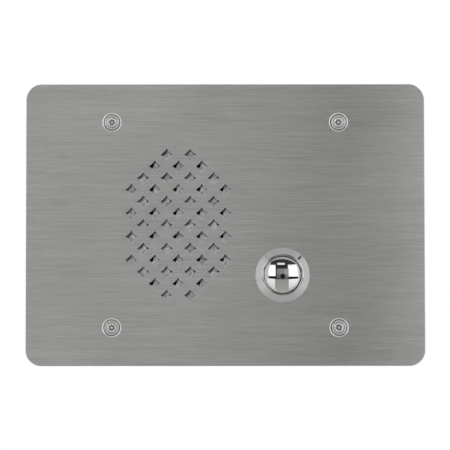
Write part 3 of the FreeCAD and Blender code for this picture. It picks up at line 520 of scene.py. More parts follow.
def braided_tin():
    finish = Finish("tinned_copper", (0.7, 0.7, 0.68), 0.35, 1.0)
    x, y, z = finish.axes()
    # Darker where the strands dip: painted shade between the braid's strands.
    braid = ((x + z) * 9.0).wave() * ((x - z + y) * 9.0).wave() * 0.5 + 0.5
    finish.colours(braid, (0.50, 0.49, 0.46), (0.80, 0.80, 0.78))
    finish.feed("Roughness", braid * 0.2 + 0.25)
    finish.relief(braid, 0.03)
    return finish


def phenolic():
    tints = ((0.17, 0.075, 0.03), (0.36, 0.19, 0.09))
    grain = (0.9, (0.3, 6, 1), 4.0)
    return grained("phenolic", (0.26, 0.13, 0.06), 0.45, 0.0, grain, tints, (0.3, 0.3), 0.015)


def moulded(name, dark, pale, roughness, coat=0.0):
    """Moulded plastic: a fine spark-eroded skin, with paler rubbed patches."""
    finish = Finish(name, dark, roughness, fixed=coated(coat, 0.15))
    skin = finish.grain(0.22, detail=3.0)
    rubbed = finish.passes(finish.grain(4.0, detail=4.0), 0.50, 0.85)
    finish.colours(rubbed * 0.6 + skin * 0.25, dark, pale)
    finish.feed("Roughness", (skin - 0.5) * 0.25 + roughness)
    finish.relief(skin, 0.008)
    return finish


def solder_mask():
    finish = Finish("board_green", (0.02, 0.17, 0.08), 0.3, fixed=coated(0.5, 0.12))
    x, y, z = finish.axes()
    weave = ((x * 12.0).wave() * (z * 12.0).wave()) * 0.5 + 0.5
    ripple = finish.grain(1.8, detail=3.0)
    inside = finish.passes(abs(y - (board_front + board_back) / 2), 0.72, 0.78)
    face = finish.blend(ripple * 0.6 + weave * 0.2, (0.008, 0.105, 0.045), (0.022, 0.20, 0.085))
    cut = finish.blend(ripple, (0.42, 0.40, 0.22), (0.55, 0.52, 0.32))
    finish.colours(inside, cut, face)
    finish.feed("Roughness", ripple * 0.2 + 0.18)
    finish.relief(weave * 0.5 + ripple * 0.5, 0.006)
    return finish


def trace_mask():
    """Solder mask where it lies over copper: paler and a little warmer."""
    tints = ((0.03, 0.24, 0.095), (0.055, 0.34, 0.14))
    grain = (1.2, (1, 1, 1), 3.0)
    gloss = coated(0.5, 0.1)
    return grained("trace_green", (0.03, 0.27, 0.12), 0.25, 0.0, grain, tints, depth=0.004, fixed=gloss)


def laminations():
    finish = Finish("core_steel", (0.2, 0.2, 0.21), 0.45, 0.9)
    rust = finish.passes(finish.grain(1.4, detail=5.0), 0.62, 0.72)
    sheet = finish.grain(0.5, (2, 0.3, 0.3), 3.0)
    bare = finish.blend(sheet, (0.12, 0.12, 0.13), (0.33, 0.33, 0.34))
    finish.colours(rust * 0.5, bare, (0.20, 0.09, 0.05))
    finish.feed("Roughness", sheet * 0.25 + 0.35)
    return finish


def coil_tape():
    finish = Finish("coil_tape", (0.62, 0.46, 0.08), 0.3, fixed=coated(0.4, 0.12))
    _, y, _ = finish.axes()
    ripple = finish.grain(1.3, (1, 0.4, 1), 3.0)
    edge = finish.passes((y * 0.33 + ripple * 0.05).fraction(), 0.93, 0.99)
    cover = finish.blend(ripple, (0.60, 0.40, 0.045), (0.78, 0.58, 0.11))
    finish.colours(edge * 0.6, cover, (0.36, 0.22, 0.03))
    finish.feed("Roughness", ripple * 0.2 + 0.2)
    finish.relief(edge * 0.6 + ripple * 0.4, 0.06)
    return finish


def anodised():
    tints = ((0.018, 0.018, 0.021), (0.06, 0.06, 0.066))
    grain = (0.25, (1, 1, 0.02), 2.0)
    return grained("sink_aluminium", (0.03, 0.03, 0.034), 0.42, 0.7, grain, tints, (0.25, 0.3), 0.01)


def can_top():
    tints = ((0.62, 0.62, 0.63), (0.82, 0.82, 0.83))
    grain = (0.5, (1, 1, 0.1), 3.0)
    return grained("capacitor_top", (0.75, 0.75, 0.76), 0.3, 1.0, grain, tints, (0.2, 0.22))


def insulation(name, dark, pale):
    finish = Finish(name, dark, 0.38, fixed=coated(0.3, 0.2))
    flow = finish.grain(1.1, detail=3.0)
    dust = finish.grain(0.3, detail=3.0)
    finish.colours(flow, dark, pale)
    finish.feed("Roughness", dust * 0.25 + 0.28)
    finish.relief(flow, 0.02)
    return finish


def solder():
    tints = ((0.55, 0.56, 0.57), (0.82, 0.83, 0.84))
    grain = (0.3, (1, 1, 1), 4.0)
    return grained("solder", (0.72, 0.73, 0.74), 0.22, 1.0, grain, tints, (0.3, 0.1), 0.01)


finishes = {finish.name: finish for finish in (
    brushed_plate(),
    screw_steel(),
    galvanised(),
    zinc_plate(),
    turned_steel("polished_steel", button_x, button_z, (0.82, 0.82, 0.81), 0.06, 0.0003),
    mirror_chrome(),
    foam(),
    rubber("seal_rubber", (0.014, 0.014, 0.016), 0.45),
    rubber("surround_rubber", (0.022, 0.022, 0.024), 0.6),
    woven("cloth", (0.008, 0.008, 0.009), (0.05, 0.05, 0.052), 0.55, 0.9, 0.2),
    woven("spider_cloth", (0.36, 0.21, 0.07), (0.66, 0.46, 0.22), 0.7, 0.75, 0.1),
    fibre(),
    pressed_paper(),
    black_paint(),
    ferrite(),
    wound_copper(),
    sheet_metal("contact_brass", (0.62, 0.44, 0.17), (0.80, 0.63, 0.32), 0.3),
    braided_tin(),
    phenolic(),
    sheet_metal("spring_steel", (0.40, 0.40, 0.41), (0.62, 0.62, 0.62), 0.28, 0.3),
    moulded("black_plastic", (0.016, 0.016, 0.018), (0.055, 0.055, 0.058), 0.48),
    moulded("green_plastic", (0.012, 0.21, 0.075), (0.05, 0.34, 0.15), 0.34, 0.3),
    moulded("white_plastic", (0.66, 0.64, 0.57), (0.84, 0.83, 0.79), 0.42, 0.1),
    moulded("blue_plastic", (0.012, 0.085, 0.36), (0.04, 0.18, 0.52), 0.32, 0.3),
    solder_mask(),
    laminations(),
    coil_tape(),
    anodised(),
    moulded("capacitor_sleeve", (0.012, 0.012, 0.05), (0.03, 0.03, 0.10), 0.28, 0.5),
    moulded("chip_ceramic", (0.07, 0.055, 0.045), (0.13, 0.11, 0.09), 0.45),
    insulation("lead_insulation", (0.40, 0.012, 0.012), (0.56, 0.035, 0.03)),
)}
for name, part in nodes.items():
    part.data.materials.clear()
    part.data.materials.append(finishes[slot_of[name]].material)

black_lead = insulation("black_insulation", (0.010, 0.010, 0.011), (0.03, 0.03, 0.032))
turned_zinc = turned_steel("turned_zinc", speaker_x, speaker_z, (0.63, 0.64, 0.66), 0.30, 0.002)
solder_finish = solder()
copper_under_mask = trace_mask()
can_top_finish = can_top()


# Shapes

def piece(name, node, shape, finish, stands_in=False, rides=True, sharp=38):
    """Make a piece of the intercom from a bmesh. It rides on a CAD node's body unless rides is false, and
    may stand for that node.
    """
    bmesh.ops.recalc_face_normals(shape, faces=shape.faces)
    mesh = bpy.data.meshes.new(name)
    shape.to_mesh(mesh)
    shape.free()
    mesh.materials.append(finish.material)
    mesh.shade_smooth()
    mesh.set_sharp_from_angle(angle=math.radians(sharp))
    made = bpy.data.objects.new(name, mesh)
    bpy.context.scene.collection.objects.link(made)
    if rides:
        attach(made, nodes[node]["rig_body"])
    if stands_in:
        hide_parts(node)
    return made


def stand_in(name, node, shape, rides=True):
    """A detailed piece that stands for a CAD node, with the node's own slot and finish."""
    slot = slot_of[node]
    return piece(name, node, shape, finishes[slot], stands_in=True, rides=rides)


def eased(corners, easing, steps=3):
    """An outline of (radius, depth) corners with each inner corner rounded off."""
    points = [corners[0]]
    for before, corner, after in zip(corners, corners[1:], corners[2:]):
        before, corner, after = (Vector(point) for point in (before, corner, after))
        trim = min(easing, 0.42 * (corner - before).length, 0.42 * (after - corner).length)
        start = corner + (before - corner).normalized() * trim
        end = corner + (after - corner).normalized() * trim
        for step in range(steps + 1):
            share = step / steps
            point = start * (1 - share) ** 2 + corner * 2 * share * (1 - share) + end * share ** 2
            points.append(tuple(point))
    return points + [corners[-1]]


def add_turned(shape, rings, x, z, steps=96, closed=False, turn=0.0):
    """Add a turned solid about the line along Y through x, z. A ring is a radius and a depth, and either may
    be a function of the angle. A radius of 0 closes the solid, and closed joins the last ring to the first.
    """
    rows = []
    for radius, depth in rings:
        row = []
        for step in range(steps if radius != 0 else 1):
            angle = 2 * math.pi * step / steps
            reach = radius(angle) if callable(radius) else radius
            y = depth(angle) if callable(depth) else depth
            place = (x + reach * math.cos(angle + turn), y, z + reach * math.sin(angle + turn))
            row.append(shape.verts.new([part * MM for part in place]))
        rows.append(row)
    if closed:
        rows.append(rows[0])
    for before, after in zip(rows, rows[1:]):
        for step in range(steps):
            following = (step + 1) % steps
            if len(before) == 1:
                corners = (before[0], after[following], after[step])
            elif len(after) == 1:
                corners = (before[step], before[following], after[0])
            else:
                corners = (before[step], before[following], after[following], after[step])
            shape.faces.new(corners)
    return shape


def threaded(radius, height, pitch, start, end, per_turn=8):
    """Rings of a screw thread from one depth to another, fading out at both ends."""
    rings = []
    count = max(2, round(abs(end - start) / pitch * per_turn))
    for ring in range(count + 1):
        depth = start + (end - start) * ring / count
        fade = min(1.0, 1.2 * min(ring, count - ring) / per_turn)

        def reach(angle, depth=depth, fade=fade):
            share = (depth / pitch - angle / (2 * math.pi)) % 1.0
            groove = min(1.0, max(0.0, 1.35 * abs(2 * share - 1) - 0.18))
            return radius - height * (fade * groove + 0.5 * (1 - fade))

        rings.append((reach, depth))
    return rings


def add_block(shape, low, high, easing=0.0):
    """Add a block between two corners in millimetres, with its edges rounded."""
    size = [(end - start) * MM for start, end in zip(low, high)]
    middle = [(end + start) / 2 * MM for start, end in zip(low, high)]
    place = Matrix.Translation(middle) @ Matrix.Diagonal((*size, 1))
    made = bmesh.ops.create_cube(shape, size=1, matrix=place)
    if easing:
        edges = {edge for corner in made["verts"] for edge in corner.link_edges}
        bmesh.ops.bevel(shape, geom=list(edges), offset=easing * MM, segments=2, profile=0.5, affect="EDGES")
    return shape


def solids_of(node):
    """The separate solids of a CAD node, each as a bmesh, in order of x and then z."""
    whole = whole_of(node)
    left = set(whole.verts)
    groups = []
    while left:
        group = {left.pop()}
        edge = list(group)
        while edge:
            near = {end for link in edge.pop().link_edges for end in link.verts} - group
            group |= near
            edge.extend(near)
        left -= group
        groups.append(group)

    def middle(group):
        return tuple(round(sum(v.co[axis] for v in group) / len(group), 5) for axis in (0, 2))

    groups.sort(key=middle)
    solids = []
    for group in groups:
        solid = whole.copy()
        keep = {v.index for v in group}
        solid.verts.ensure_lookup_table()
        bmesh.ops.delete(solid, geom=[v for v in solid.verts if v.index not in keep], context="VERTS")
        solids.append(solid)
    whole.free()
    return solids


def boxes_of(node):
    """The low and high corner of each separate solid of a CAD node, in millimetres."""
    boxes = []
    for solid in solids_of(node):
        low = [min(v.co[axis] for v in solid.verts) / MM for axis in range(3)]
        high = [max(v.co[axis] for v in solid.verts) / MM for axis in range(3)]
        solid.free()
        boxes.append((low, high))
    return boxes


def middles_of(node):
    """The middle of each solid of a node across the plate, as x and z."""
    return [((low[0] + high[0]) / 2, (low[2] + high[2]) / 2) for low, high in boxes_of(node)]


def whole_of(node):
    shape = bmesh.new()
    shape.from_mesh(nodes[node].data)
    bmesh.ops.remove_doubles(shape, verts=shape.verts, dist=0.0005 * MM)
    return shape


def eased_copy(node, width):
    """A copy of a CAD mesh without its flat triangles and with its steep edges rounded over."""
    shape = whole_of(node)
    bmesh.ops.dissolve_limit(shape, angle_limit=math.radians(1), verts=shape.verts, edges=shape.edges)
    steepest = math.radians(30)
    steep = [
        edge for edge in shape.edges if len(edge.link_faces) == 2 and edge.calc_face_angle(0) > steepest
    ]
    bmesh.ops.bevel(shape, geom=steep, offset=width * MM, segments=2, profile=0.5, affect="EDGES")
    return shape


# Studio

def emitter(name, radiance):
    """A card's surface: it only shines, or is black."""
    material = bpy.data.materials.new(name)
    material.use_nodes = True
    tree = material.node_tree
    tree.nodes.clear()
    shine = tree.nodes.new("ShaderNodeEmission")
    shine.inputs["Color"].default_value = (*radiance, 1.0)
    out = tree.nodes.new("ShaderNodeOutputMaterial")
    tree.links.new(shine.outputs[0], out.inputs[0])
    return material


def bounced(point, normal, far):
    """Where the camera's line of sight goes from a point that mirrors it, at a distance."""
    sight = (point - camera_place).normalized()
    return point + (sight - 2 * sight.dot(normal) * normal) * far


def mirrored(u, v, far):
    """The place that the dome button mirrors at u, v, which are shares of its radius across and up."""
    lean = dome_slant ** 2 * (u * u + v * v)
    normal = Vector((dome_slant * u, -math.sqrt(1 - lean), dome_slant * v))
    centre = Vector((cap_x, dome_apex + dome_radius, cap_z)) * MM
    return bounced(centre + normal * dome_radius * MM, normal, far)


def mirrored_by_flank(turn, radius, far):
    """The place that the bezel's flank mirrors at an angle and a radius on the bezel."""
    out = Vector((math.cos(math.radians(turn)), 0, math.sin(math.radians(turn))))
    inward = bezel_radius - radius
    slope = math.radians(foot_slope - (foot_slope - crown_slope) * inward / flank_width)
    normal = out * math.sin(slope) - Vector((0, math.cos(slope), 0))
    depth = flank_foot - inward * math.tan(math.radians(mean_slope))
    point = Vector((button_x, depth, button_z)) + out * radius
    return bounced(point * MM, normal, far)


def card(name, radiance, corners, far=studio_reach, arch=0.0, bow=0.0, fine=12):
    """A studio card. Its corners are given as the dome mirrors them, from the lower left one anticlockwise.
    Its top edge rises by arch in the middle, and its outer edge stands out by bow.
    """
    low_left, low_right, high_right, high_left = (Vector(corner) for corner in corners)
    outer = -1 if low_left.x + low_right.x < 0 else 1
    shape = bmesh.new()
    rows = []
    for row in range(fine + 1):
        rise = row / fine
        line = []
        for column in range(fine + 1):
            across = column / fine
            below = low_left.lerp(low_right, across)
            spot = below.lerp(high_left.lerp(high_right, across), rise)
            v = spot.y + arch * rise * (1 - (2 * across - 1) ** 2)
            outwards = across if outer > 0 else 1 - across
            u = spot.x + outer * bow * outwards * 4 * rise * (1 - rise)
            line.append(shape.verts.new(mirrored(u, v, far)))
        rows.append(line)
    for below, above in zip(rows, rows[1:]):
        for column in range(fine):
            shape.faces.new((below[column], below[column + 1], above[column + 1], above[column]))
    return stage_piece(name, shape, emitter(name, radiance))


def upright(left, right, low, high):
    """The corners of a card with level and upright edges."""
    return ((left, low), (right, low), (right, high), (left, high))


def stage_piece(name, shape, material):
    mesh = bpy.data.meshes.new(name)
    shape.to_mesh(mesh)
    shape.free()
    mesh.materials.append(material)
    made = bpy.data.objects.new(name, mesh)
    bpy.context.scene.collection.objects.link(made)
    made.visible_camera = False
    made.visible_shadow = False
    return made


def grey(level):
    return (level, level, level)


def tent(name, radiance, sides, far, fade=0.07):
    """A cloth side of the studio tent below the camera, whose brightness fades towards its foot."""
    top = -0.185
    drop = 0.11
    dome_edge = 0.91
    for strip in range(6):
        share = 1 - fade * strip
        low = top - drop * (strip + 1)
        reach = math.sqrt(dome_edge ** 2 - low ** 2)
        corners = upright(max(sides[0], -reach), min(sides[1], reach), low, low + drop)
        card(f"{name}_{strip}", [part * share for part in radiance], corners, far, fine=4)


def make_cards():
    left_box = ((-0.74, -0.06), (-0.385, -0.06), (-0.385, 0.50), (-0.66, 0.51))
    right_box = ((0.315, -0.09), (0.845, -0.09), (0.73, 0.55), (0.275, 0.49))
    ceiling = ((-0.64, 0.545), (0.735, 0.565), (0.735, 0.575), (-0.62, 0.69))
    left_rail = ((-0.75, -0.185), (-0.33, -0.225), (-0.33, -0.07), (-0.75, -0.065))
    right_rail = ((0.305, -0.235), (0.83, -0.20), (0.83, -0.10), (0.305, -0.09))
    card("left_softbox", grey(1.4), left_box, bow=0.05)
    card("right_softbox", grey(1.25), right_box, bow=0.04)
    card("ceiling_dark", grey(0.045), ceiling, 1.45, arch=0.20)
    card("ceiling_lamp", grey(1.0), upright(-0.285, 0.107, 0.535, 0.637), 1.39)
    # A black card just under the ceiling lamp stands for the lamp's shadow: painted shade that the dome
    # mirrors.
    card("painted_lamp_shadow", grey(0.015), upright(-0.25, 0.10, 0.48, 0.536), 1.40)
    card("ceiling_gap", grey(0.035), upright(-0.38, 0.27, 0.325, 0.57), 1.43)
    wall_columns = ((-0.33, -0.18, 0.24), (-0.18, 0.09, 0.27), (0.09, 0.315, 0.37))
    wall_rows = (
        ("camera_wall", 1, 0.03, 0.33), ("wall_low", 0.66, -0.13, 0.03), ("wall_foot", 0.42, -0.24, -0.13),
    )
    for side, (left, right, level) in enumerate(wall_columns):
        for name, share, low, high in wall_rows:
            card(f"{name}_{side}", grey(level * share), upright(left, right, low, high), 1.42)
    card("left_post", grey(0.015), upright(-0.378, -0.325, -0.17, 0.55), 1.41)
    card("left_rail", grey(0.015), left_rail, 1.41)
    card("right_rail", grey(0.015), right_rail, 1.41)
    tent("left_tent", (0.97, 0.985, 0.96), (-0.80, -0.40), 1.46, fade=0.04)
    tent("right_tent", (1.05, 1.08, 1.09), (0.31, 0.86), 1.46)
    # The tent's middle strips are dim: painted shade, the shadow that falls on the tent below the camera.
    tent("shaded_middle_tent", (0.345, 0.34, 0.32), (-0.41, 0.32), 1.45, fade=-0.04)
    lens = bmesh.new()
    place = mirrored(0.0, -0.075, 1.30)
    aim = (mirrored(0, 0, 0) - place).to_track_quat("Z", "Y").to_matrix().to_4x4()
    stand = Matrix.Translation(place) @ aim
    bmesh.ops.create_circle(lens, cap_ends=True, radius=0.26, segments=40, matrix=stand)
    stage_piece("lens", lens, emitter("lens", grey(0.02)))


def make_seams():
    """Dark seams of the tent round the button, which the bezel's flank mirrors as thin lines. Each has its
    angle and width on the bezel, the radii between which it shows, and how bright it is.
    """
    distance = 0.8
    seams = (
        (45.5, 0.78, 8.20, 10.50, 0.0), (132, 0.26, 8.40, 10.90, 0.25),
        (192, 0.26, 8.70, 10.90, 0.38), (226, 0.22, 9.00, 10.90, 0.48),
    )
    for turn, width, start, end, level in seams:
        shape = bmesh.new()
        corners = []
        for side, radius in ((-1, start), (1, start), (1, end), (-1, end)):
            half = math.degrees(width / 2 / radius)
            corners.append(mirrored_by_flank(turn + side * half, radius, distance))
        shape.faces.new([shape.verts.new(corner) for corner in corners])
        stage_piece(f"seam_{turn}", shape, emitter(f"seam_{turn}", grey(level)))


def make_plate_glow():
    """Tall soft lamps beside the camera that light the brushed plate alone, with a gap between them. Each
    has its left and right edge and its brightness.
    """
    plate_alone = bpy.data.collections.new("plate_alone")
    plate_alone.objects.link(bpy.data.objects["faceplate_eased"])
    for side, (start, end, level) in enumerate(((-0.55, 0.075, 0.17), (0.225, 0.55, 0.56))):
        width = end - start
        glow = lamp(f"plate_glow_{side}", ((start + end) / 2, -1.1, 0), width, level * math.pi * width, True)
        glow.rotation_quaternion = Vector((0, 1, 0)).to_track_quat("-Z", "Z")
        glow.data.shape = "RECTANGLE"
        glow.data.size_y = 1.0
        glow.light_linking.receiver_collection = plate_alone


def make_world():
    """A room that is duller above and below, behind white paper that only the camera sees."""
    world = bpy.data.worlds.new("studio")
    world.use_nodes = True
    tree = world.node_tree
    tree.nodes.clear()
    kinds = (
        "Background", "TexCoord", "SeparateXYZ", "Math", "MapRange", "Background", "LightPath", "MixShader",
        "OutputWorld",
    )
    room, way, apart, steep, duller, paper, rays, mix, out = (
        tree.nodes.new("ShaderNode" + kind) for kind in kinds
    )
    steep.operation = "ABSOLUTE"
    duller.interpolation_type = "SMOOTHSTEP"
    fading = {"From Min": 0.45, "From Max": 0.95, "To Min": room_light, "To Max": ceiling_light}
    for socket, value in fading.items():
        duller.inputs[socket].default_value = value
    paper.inputs["Color"].default_value = (*paper_white, 1.0)
    links = (
        (way.outputs["Generated"], apart.inputs[0]), (apart.outputs["Z"], steep.inputs[0]),
        (steep.outputs[0], duller.inputs["Value"]), (duller.outputs[0], room.inputs["Color"]),
        (rays.outputs["Is Camera Ray"], mix.inputs[0]), (room.outputs[0], mix.inputs[1]),
        (paper.outputs[0], mix.inputs[2]), (mix.outputs[0], out.inputs[0]),
    )
    for source, target in links:
        tree.links.new(source, target)
    bpy.context.scene.world = world
    bpy.context.scene.view_settings.view_transform = "Standard"


def make_floor():
    shape = bmesh.new()
    level = Matrix.Translation((0, 0, floor_level))
    bmesh.ops.create_circle(shape, cap_ends=True, radius=floor_radius, segments=128, matrix=level)
    finish = Finish("floor", (0.86, 0.86, 0.85), 0.9, 0, {"Specular IOR Level": 0.1})
    finish.colours(finish.grain(400, detail=2.0), (0.85, 0.85, 0.84), (0.88, 0.88, 0.87))
    x, y, _ = finish.axes()
    finish.feed("Alpha", finish.passes((x ** 2 + y ** 2) ** 0.5, 800, 250))
    floor = stage_piece("floor", shape, finish.material)
    floor.visible_camera = True
    floor.visible_shadow = True
    floor.visible_glossy = False


def lamp(name, place, size, power, glossy):
    """A soft square lamp aimed at the intercom."""
    data = bpy.data.lights.new(name, "AREA")
    data.size = size
    data.energy = power
    made = bpy.data.objects.new(name, data)
    made.location = place
    made.rotation_mode = "QUATERNION"
    made.rotation_quaternion = (-Vector(place)).to_track_quat("-Z", "Y")
    made.visible_glossy = glossy
    made.visible_camera = False
    bpy.context.scene.collection.objects.link(made)
    return made


def make_lamps():
    lamp("front_key", (-0.14, -1.05, 0.34), 0.30, 9.5, False)
    lamp("front_fill", (-0.9, -0.9, -0.55), 0.6, 5.0, False)
    lamp("rear_left", (0.95, 0.95, 0.75), 0.9, 9.0, True)
    lamp("rear_right", (-0.95, 0.80, 0.45), 0.9, 5.0, True)
    lamp("overhead", (0.0, 0.75, 1.05), 0.8, 6.0, True)


# Plate screws

head_seat_end = -1.919
neck_radius = 1.35
plate_thread_radius = 1.75
plate_thread_pitch = 0.794
screw_turns = (0.09, 0.35, -0.21, 0.55)


def lobed(middle, swing):
    """The six-lobed outline of the drive recess."""
    return lambda angle: middle - swing * math.cos(6 * angle)


def make_plate_screws():
    crown = front_of("plate_screws")
    tip = back_of("plate_screws")
    recess = [(0, 0.18), (0.22, 0.20), (0.36, 0.28), (0.45, 0.42), (0.47, 0.75), (lobed(0.98, 0.15), 0.75)]
    recess += [(lobed(1.22, 0.20), 0.40), (lobed(1.52, 0.24), 0.09), (lobed(1.66, 0.22), 0.0)]
    head = eased([
        (1.84, 0.0), (1.98, 0.02), (2.06, 0.15), (2.28, 0.15), (2.38, 0.02), (2.80, 0.08), (2.97, 0.26),
        (2.97, 0.95), (neck_radius, head_seat_end - crown), (neck_radius, -crown),
    ], 0.06)
    front = [(radius, crown + depth) for radius, depth in recess + head]
    shank = threaded(plate_thread_radius, 0.42, plate_thread_pitch, 0.0, tip - 0.6)
    shape = bmesh.new()
    for (x, z), turn in zip(middles_of("plate_screws"), screw_turns):
        add_turned(shape, front + shank + [(1.15, tip), (0, tip)], x, z, 96, turn=turn)
    stand_in("plate_screws_threaded", "plate_screws", shape)


# Push button

def make_button_cap():
    apex = front_of("button_cap")
    stem_end = 21.0
    corner = math.asin(cap_radius / dome_radius)
    rings = [(0, apex)]
    for step in range(1, 49):
        slant = corner * 0.99 * step / 48
        rings.append((dome_radius * math.sin(slant), apex + dome_radius * (1 - math.cos(slant))))
    edge = apex + dome_radius * (1 - math.cos(corner))
    groove_radius = 6.85
    wall_radius = 6.0
    skirt_end = -1.95
    hollow_front = -4.45
    stem_radius = 2.5
    neck = 2.0
    pin_radius = 1.2
    tip_radius = 1.8
    seal_front, seal_back = -4.40, -3.70
    clip_front, clip_back = 8.30, 9.10
    bridge_front, bridge_back = 20.0, 20.5
    skirt = eased([
        rings[-1], (cap_radius, edge + 0.02), (cap_radius, seal_front), (groove_radius, seal_front),
        (groove_radius, seal_back), (cap_radius, seal_back), (cap_radius, skirt_end),
        (wall_radius, skirt_end), (wall_radius, hollow_front), (stem_radius, hollow_front),
        (stem_radius, clip_front), (neck, clip_front), (neck, clip_back), (stem_radius, clip_back),
        (stem_radius, bridge_front), (pin_radius, bridge_front), (pin_radius, bridge_back),
        (tip_radius, bridge_back), (tip_radius, stem_end), (0, stem_end),
    ], 0.12)
    shape = add_turned(bmesh.new(), rings + skirt[1:-1] + [(0, stem_end)], cap_x, cap_z, 192)
    stand_in("button_dome", "button_cap", shape)


def make_bezel():
    barrel_end = back_of("button_bezel")
    rear_bore = 7.5
    web_back = 8.0
    stem_hole = 2.8
    spring_well = 5.6
    spring_seat = 6.0
    well_front = 0.55
    seal_inner = 8.95
    seal_outer = 10.05
    groove_front = plate_front - 0.5
    front = eased([
        (9.0, web_back), (rear_bore, web_back), (rear_bore, barrel_end), (8.9, barrel_end),
        (9.0, barrel_end - 0.3),
    ], 0.1)[1:]
    thread = threaded(barrel_radius, 0.50, 1.0, barrel_end - 0.4, plate_front + 1.2)
    flange = eased([
        (seal_inner, plate_front + 1.0), (seal_inner, groove_front), (seal_outer, groove_front),
        (seal_outer, plate_front), (bezel_radius, plate_front),
    ], 0.1)
    foot = math.radians(foot_slope)
    crown = math.radians(crown_slope)
    lip_easing = 0.54
    flank_steps = 8
    lip_steps = 16
    reach = bezel_radius
    depth = flank_foot
    crest = [(reach, depth)]
    step_in = (bezel_radius - bore_radius - lip_easing * (1 + math.sin(crown))) / flank_steps
    for step in range(flank_steps):
        reach -= step_in
        depth -= step_in * math.tan(foot + (crown - foot) * (step + 0.5) / flank_steps)
        crest.append((reach, depth))
    lip = depth - lip_easing * (1 - math.cos(crown))
    for step in range(1, lip_steps + 1):
        lean = crown - (crown + math.pi / 2) * step / lip_steps
        radius = bore_radius + lip_easing * (1 + math.sin(lean))
        crest.append((radius, lip + lip_easing * (1 - math.cos(lean))))
    bore = eased([
        (bore_radius, lip + 1.0), (bore_radius, well_front), (spring_well, well_front),
        (spring_well, spring_seat), (stem_hole, spring_seat), (stem_hole, web_back),
        (rear_bore - 0.1, web_back),
    ], 0.16)
    rings = front + thread + flange + crest + bore
    shape = add_turned(bmesh.new(), rings, button_x, button_z, 160, closed=True)
    stand_in("bezel_threaded", "button_bezel", shape)


# What the plate carries behind

def make_studs():
    shape = bmesh.new()
    start = front_of("speaker_studs")
    end = back_of("speaker_studs")
    stud_radius = 1.42
    foot = [(0, start), (stud_radius, start), (stud_radius, start + 0.4)]
    thread = threaded(stud_radius, 0.26, 0.6, start + 0.5, end - 0.2)
    for x, z in middles_of("speaker_studs"):
        add_turned(shape, foot + thread + [(1.1, end), (0, end)], x, z, 40)
    stand_in("speaker_studs_threaded", "speaker_studs", shape)


def make_return_spring():
    """The spring as a mesh of its own. The spring closes up towards its seat as the button goes in; nothing
    here moves it.
    """
    made = stand_in("return_spring_wire", "return_spring", whole_of("return_spring"))
    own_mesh(made)


def make_tinsel_leads():
    """The braided leads between the cone and the lugs, which are flexible, kept on no body and with their
    place baked into the mesh.
    """
    made = stand_in("tinsel_braid", "tinsel_leads", whole_of("tinsel_leads"), rides=False)
    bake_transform(made)


def make_membrane(name, node):
    """A round membrane cut into sectors, each spanning from the frame at its rim to the cone, kept on no
    body and with its place baked into the mesh.
    """
    low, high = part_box(node)
    centre = Vector((speaker_x * MM, (low.y + high.y) / 2, speaker_z * MM))
    half = math.pi / membrane_sectors
    for sector in range(membrane_sectors):
        turn = half * (2 * sector + 1) + sector_turn
        shape = whole_of(node)
        for side in (-1, 1):
            cut = turn + side * half
            normal = Vector((-math.sin(cut), 0, math.cos(cut))) * side
            everything = shape.verts[:] + shape.edges[:] + shape.faces[:]
            bmesh.ops.bisect_plane(
                shape, geom=everything, plane_co=centre, plane_no=normal, clear_outer=True
            )
        bmesh.ops.holes_fill(shape, edges=[edge for edge in shape.edges if edge.is_boundary])
        made = stand_in(f"{name}_{sector}", node, shape, rides=False)
        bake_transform(made)


def make_grille_cloth():
    """The acoustic cloth, held flat between the guard and the gasket."""
    made = stand_in("acoustic_cloth", "grille_cloth", eased_copy("grille_cloth", 0.08))


def make_eased_nodes():
    easings = {
        "wall_gasket": 0.25, "switch_block": 0.35, "switch_back": 0.30, "terminal_block": 0.22,
        "amplifier_chip": 0.12, "heat_sink": 0.14, "trimmer_body": 0.18, "speaker_header": 0.12,
        "speaker_plug": 0.20, "button_header": 0.12, "button_plug": 0.20, "transformer_coil": 0.35,
        "board_standoffs": 0.12, "bezel_nut": 0.15, "speaker_nuts": 0.12, "screw_retainers": 0.10,
        "speaker_washers": 0.08, "lock_washer": 0.08, "terminal_screws": 0.08, "trimmer_rotor": 0.08,
        "speaker_terminal_strip": 0.12, "fixed_contacts": 0.06, "circuit_board": 0.08,
        "speaker_gasket": 0.15, "faceplate": 0.12,
    }
    for node, width in easings.items():
        made = stand_in(node + "_eased", node, eased_copy(node, width))
        even = made.modifiers.new("even_shading", "WEIGHTED_NORMAL")
        even.keep_sharp = True


# Circuit board

small_chip_end = 0.55
joint_reach = 1.1
half_pin_pitch = 1.25
terminal_pitch = 5.0
core_pin_reach = 5.9
core_pin_steps = (-5.0, 0.0, 5.0)
# Pins of the trimmer, as x and z from its middle
trimmer_pins = ((-2.5, -1.8), (2.5, -1.8), (0, 2.2))
# A chip leg's shoulder, shank and foot: start and end from the chip's side, base and top from the board
leg_parts = ((-0.05, 0.55, 0.75, 0.95), (0.40, 0.60, 0.05, 0.95), (0.40, 1.15, 0.02, 0.20))


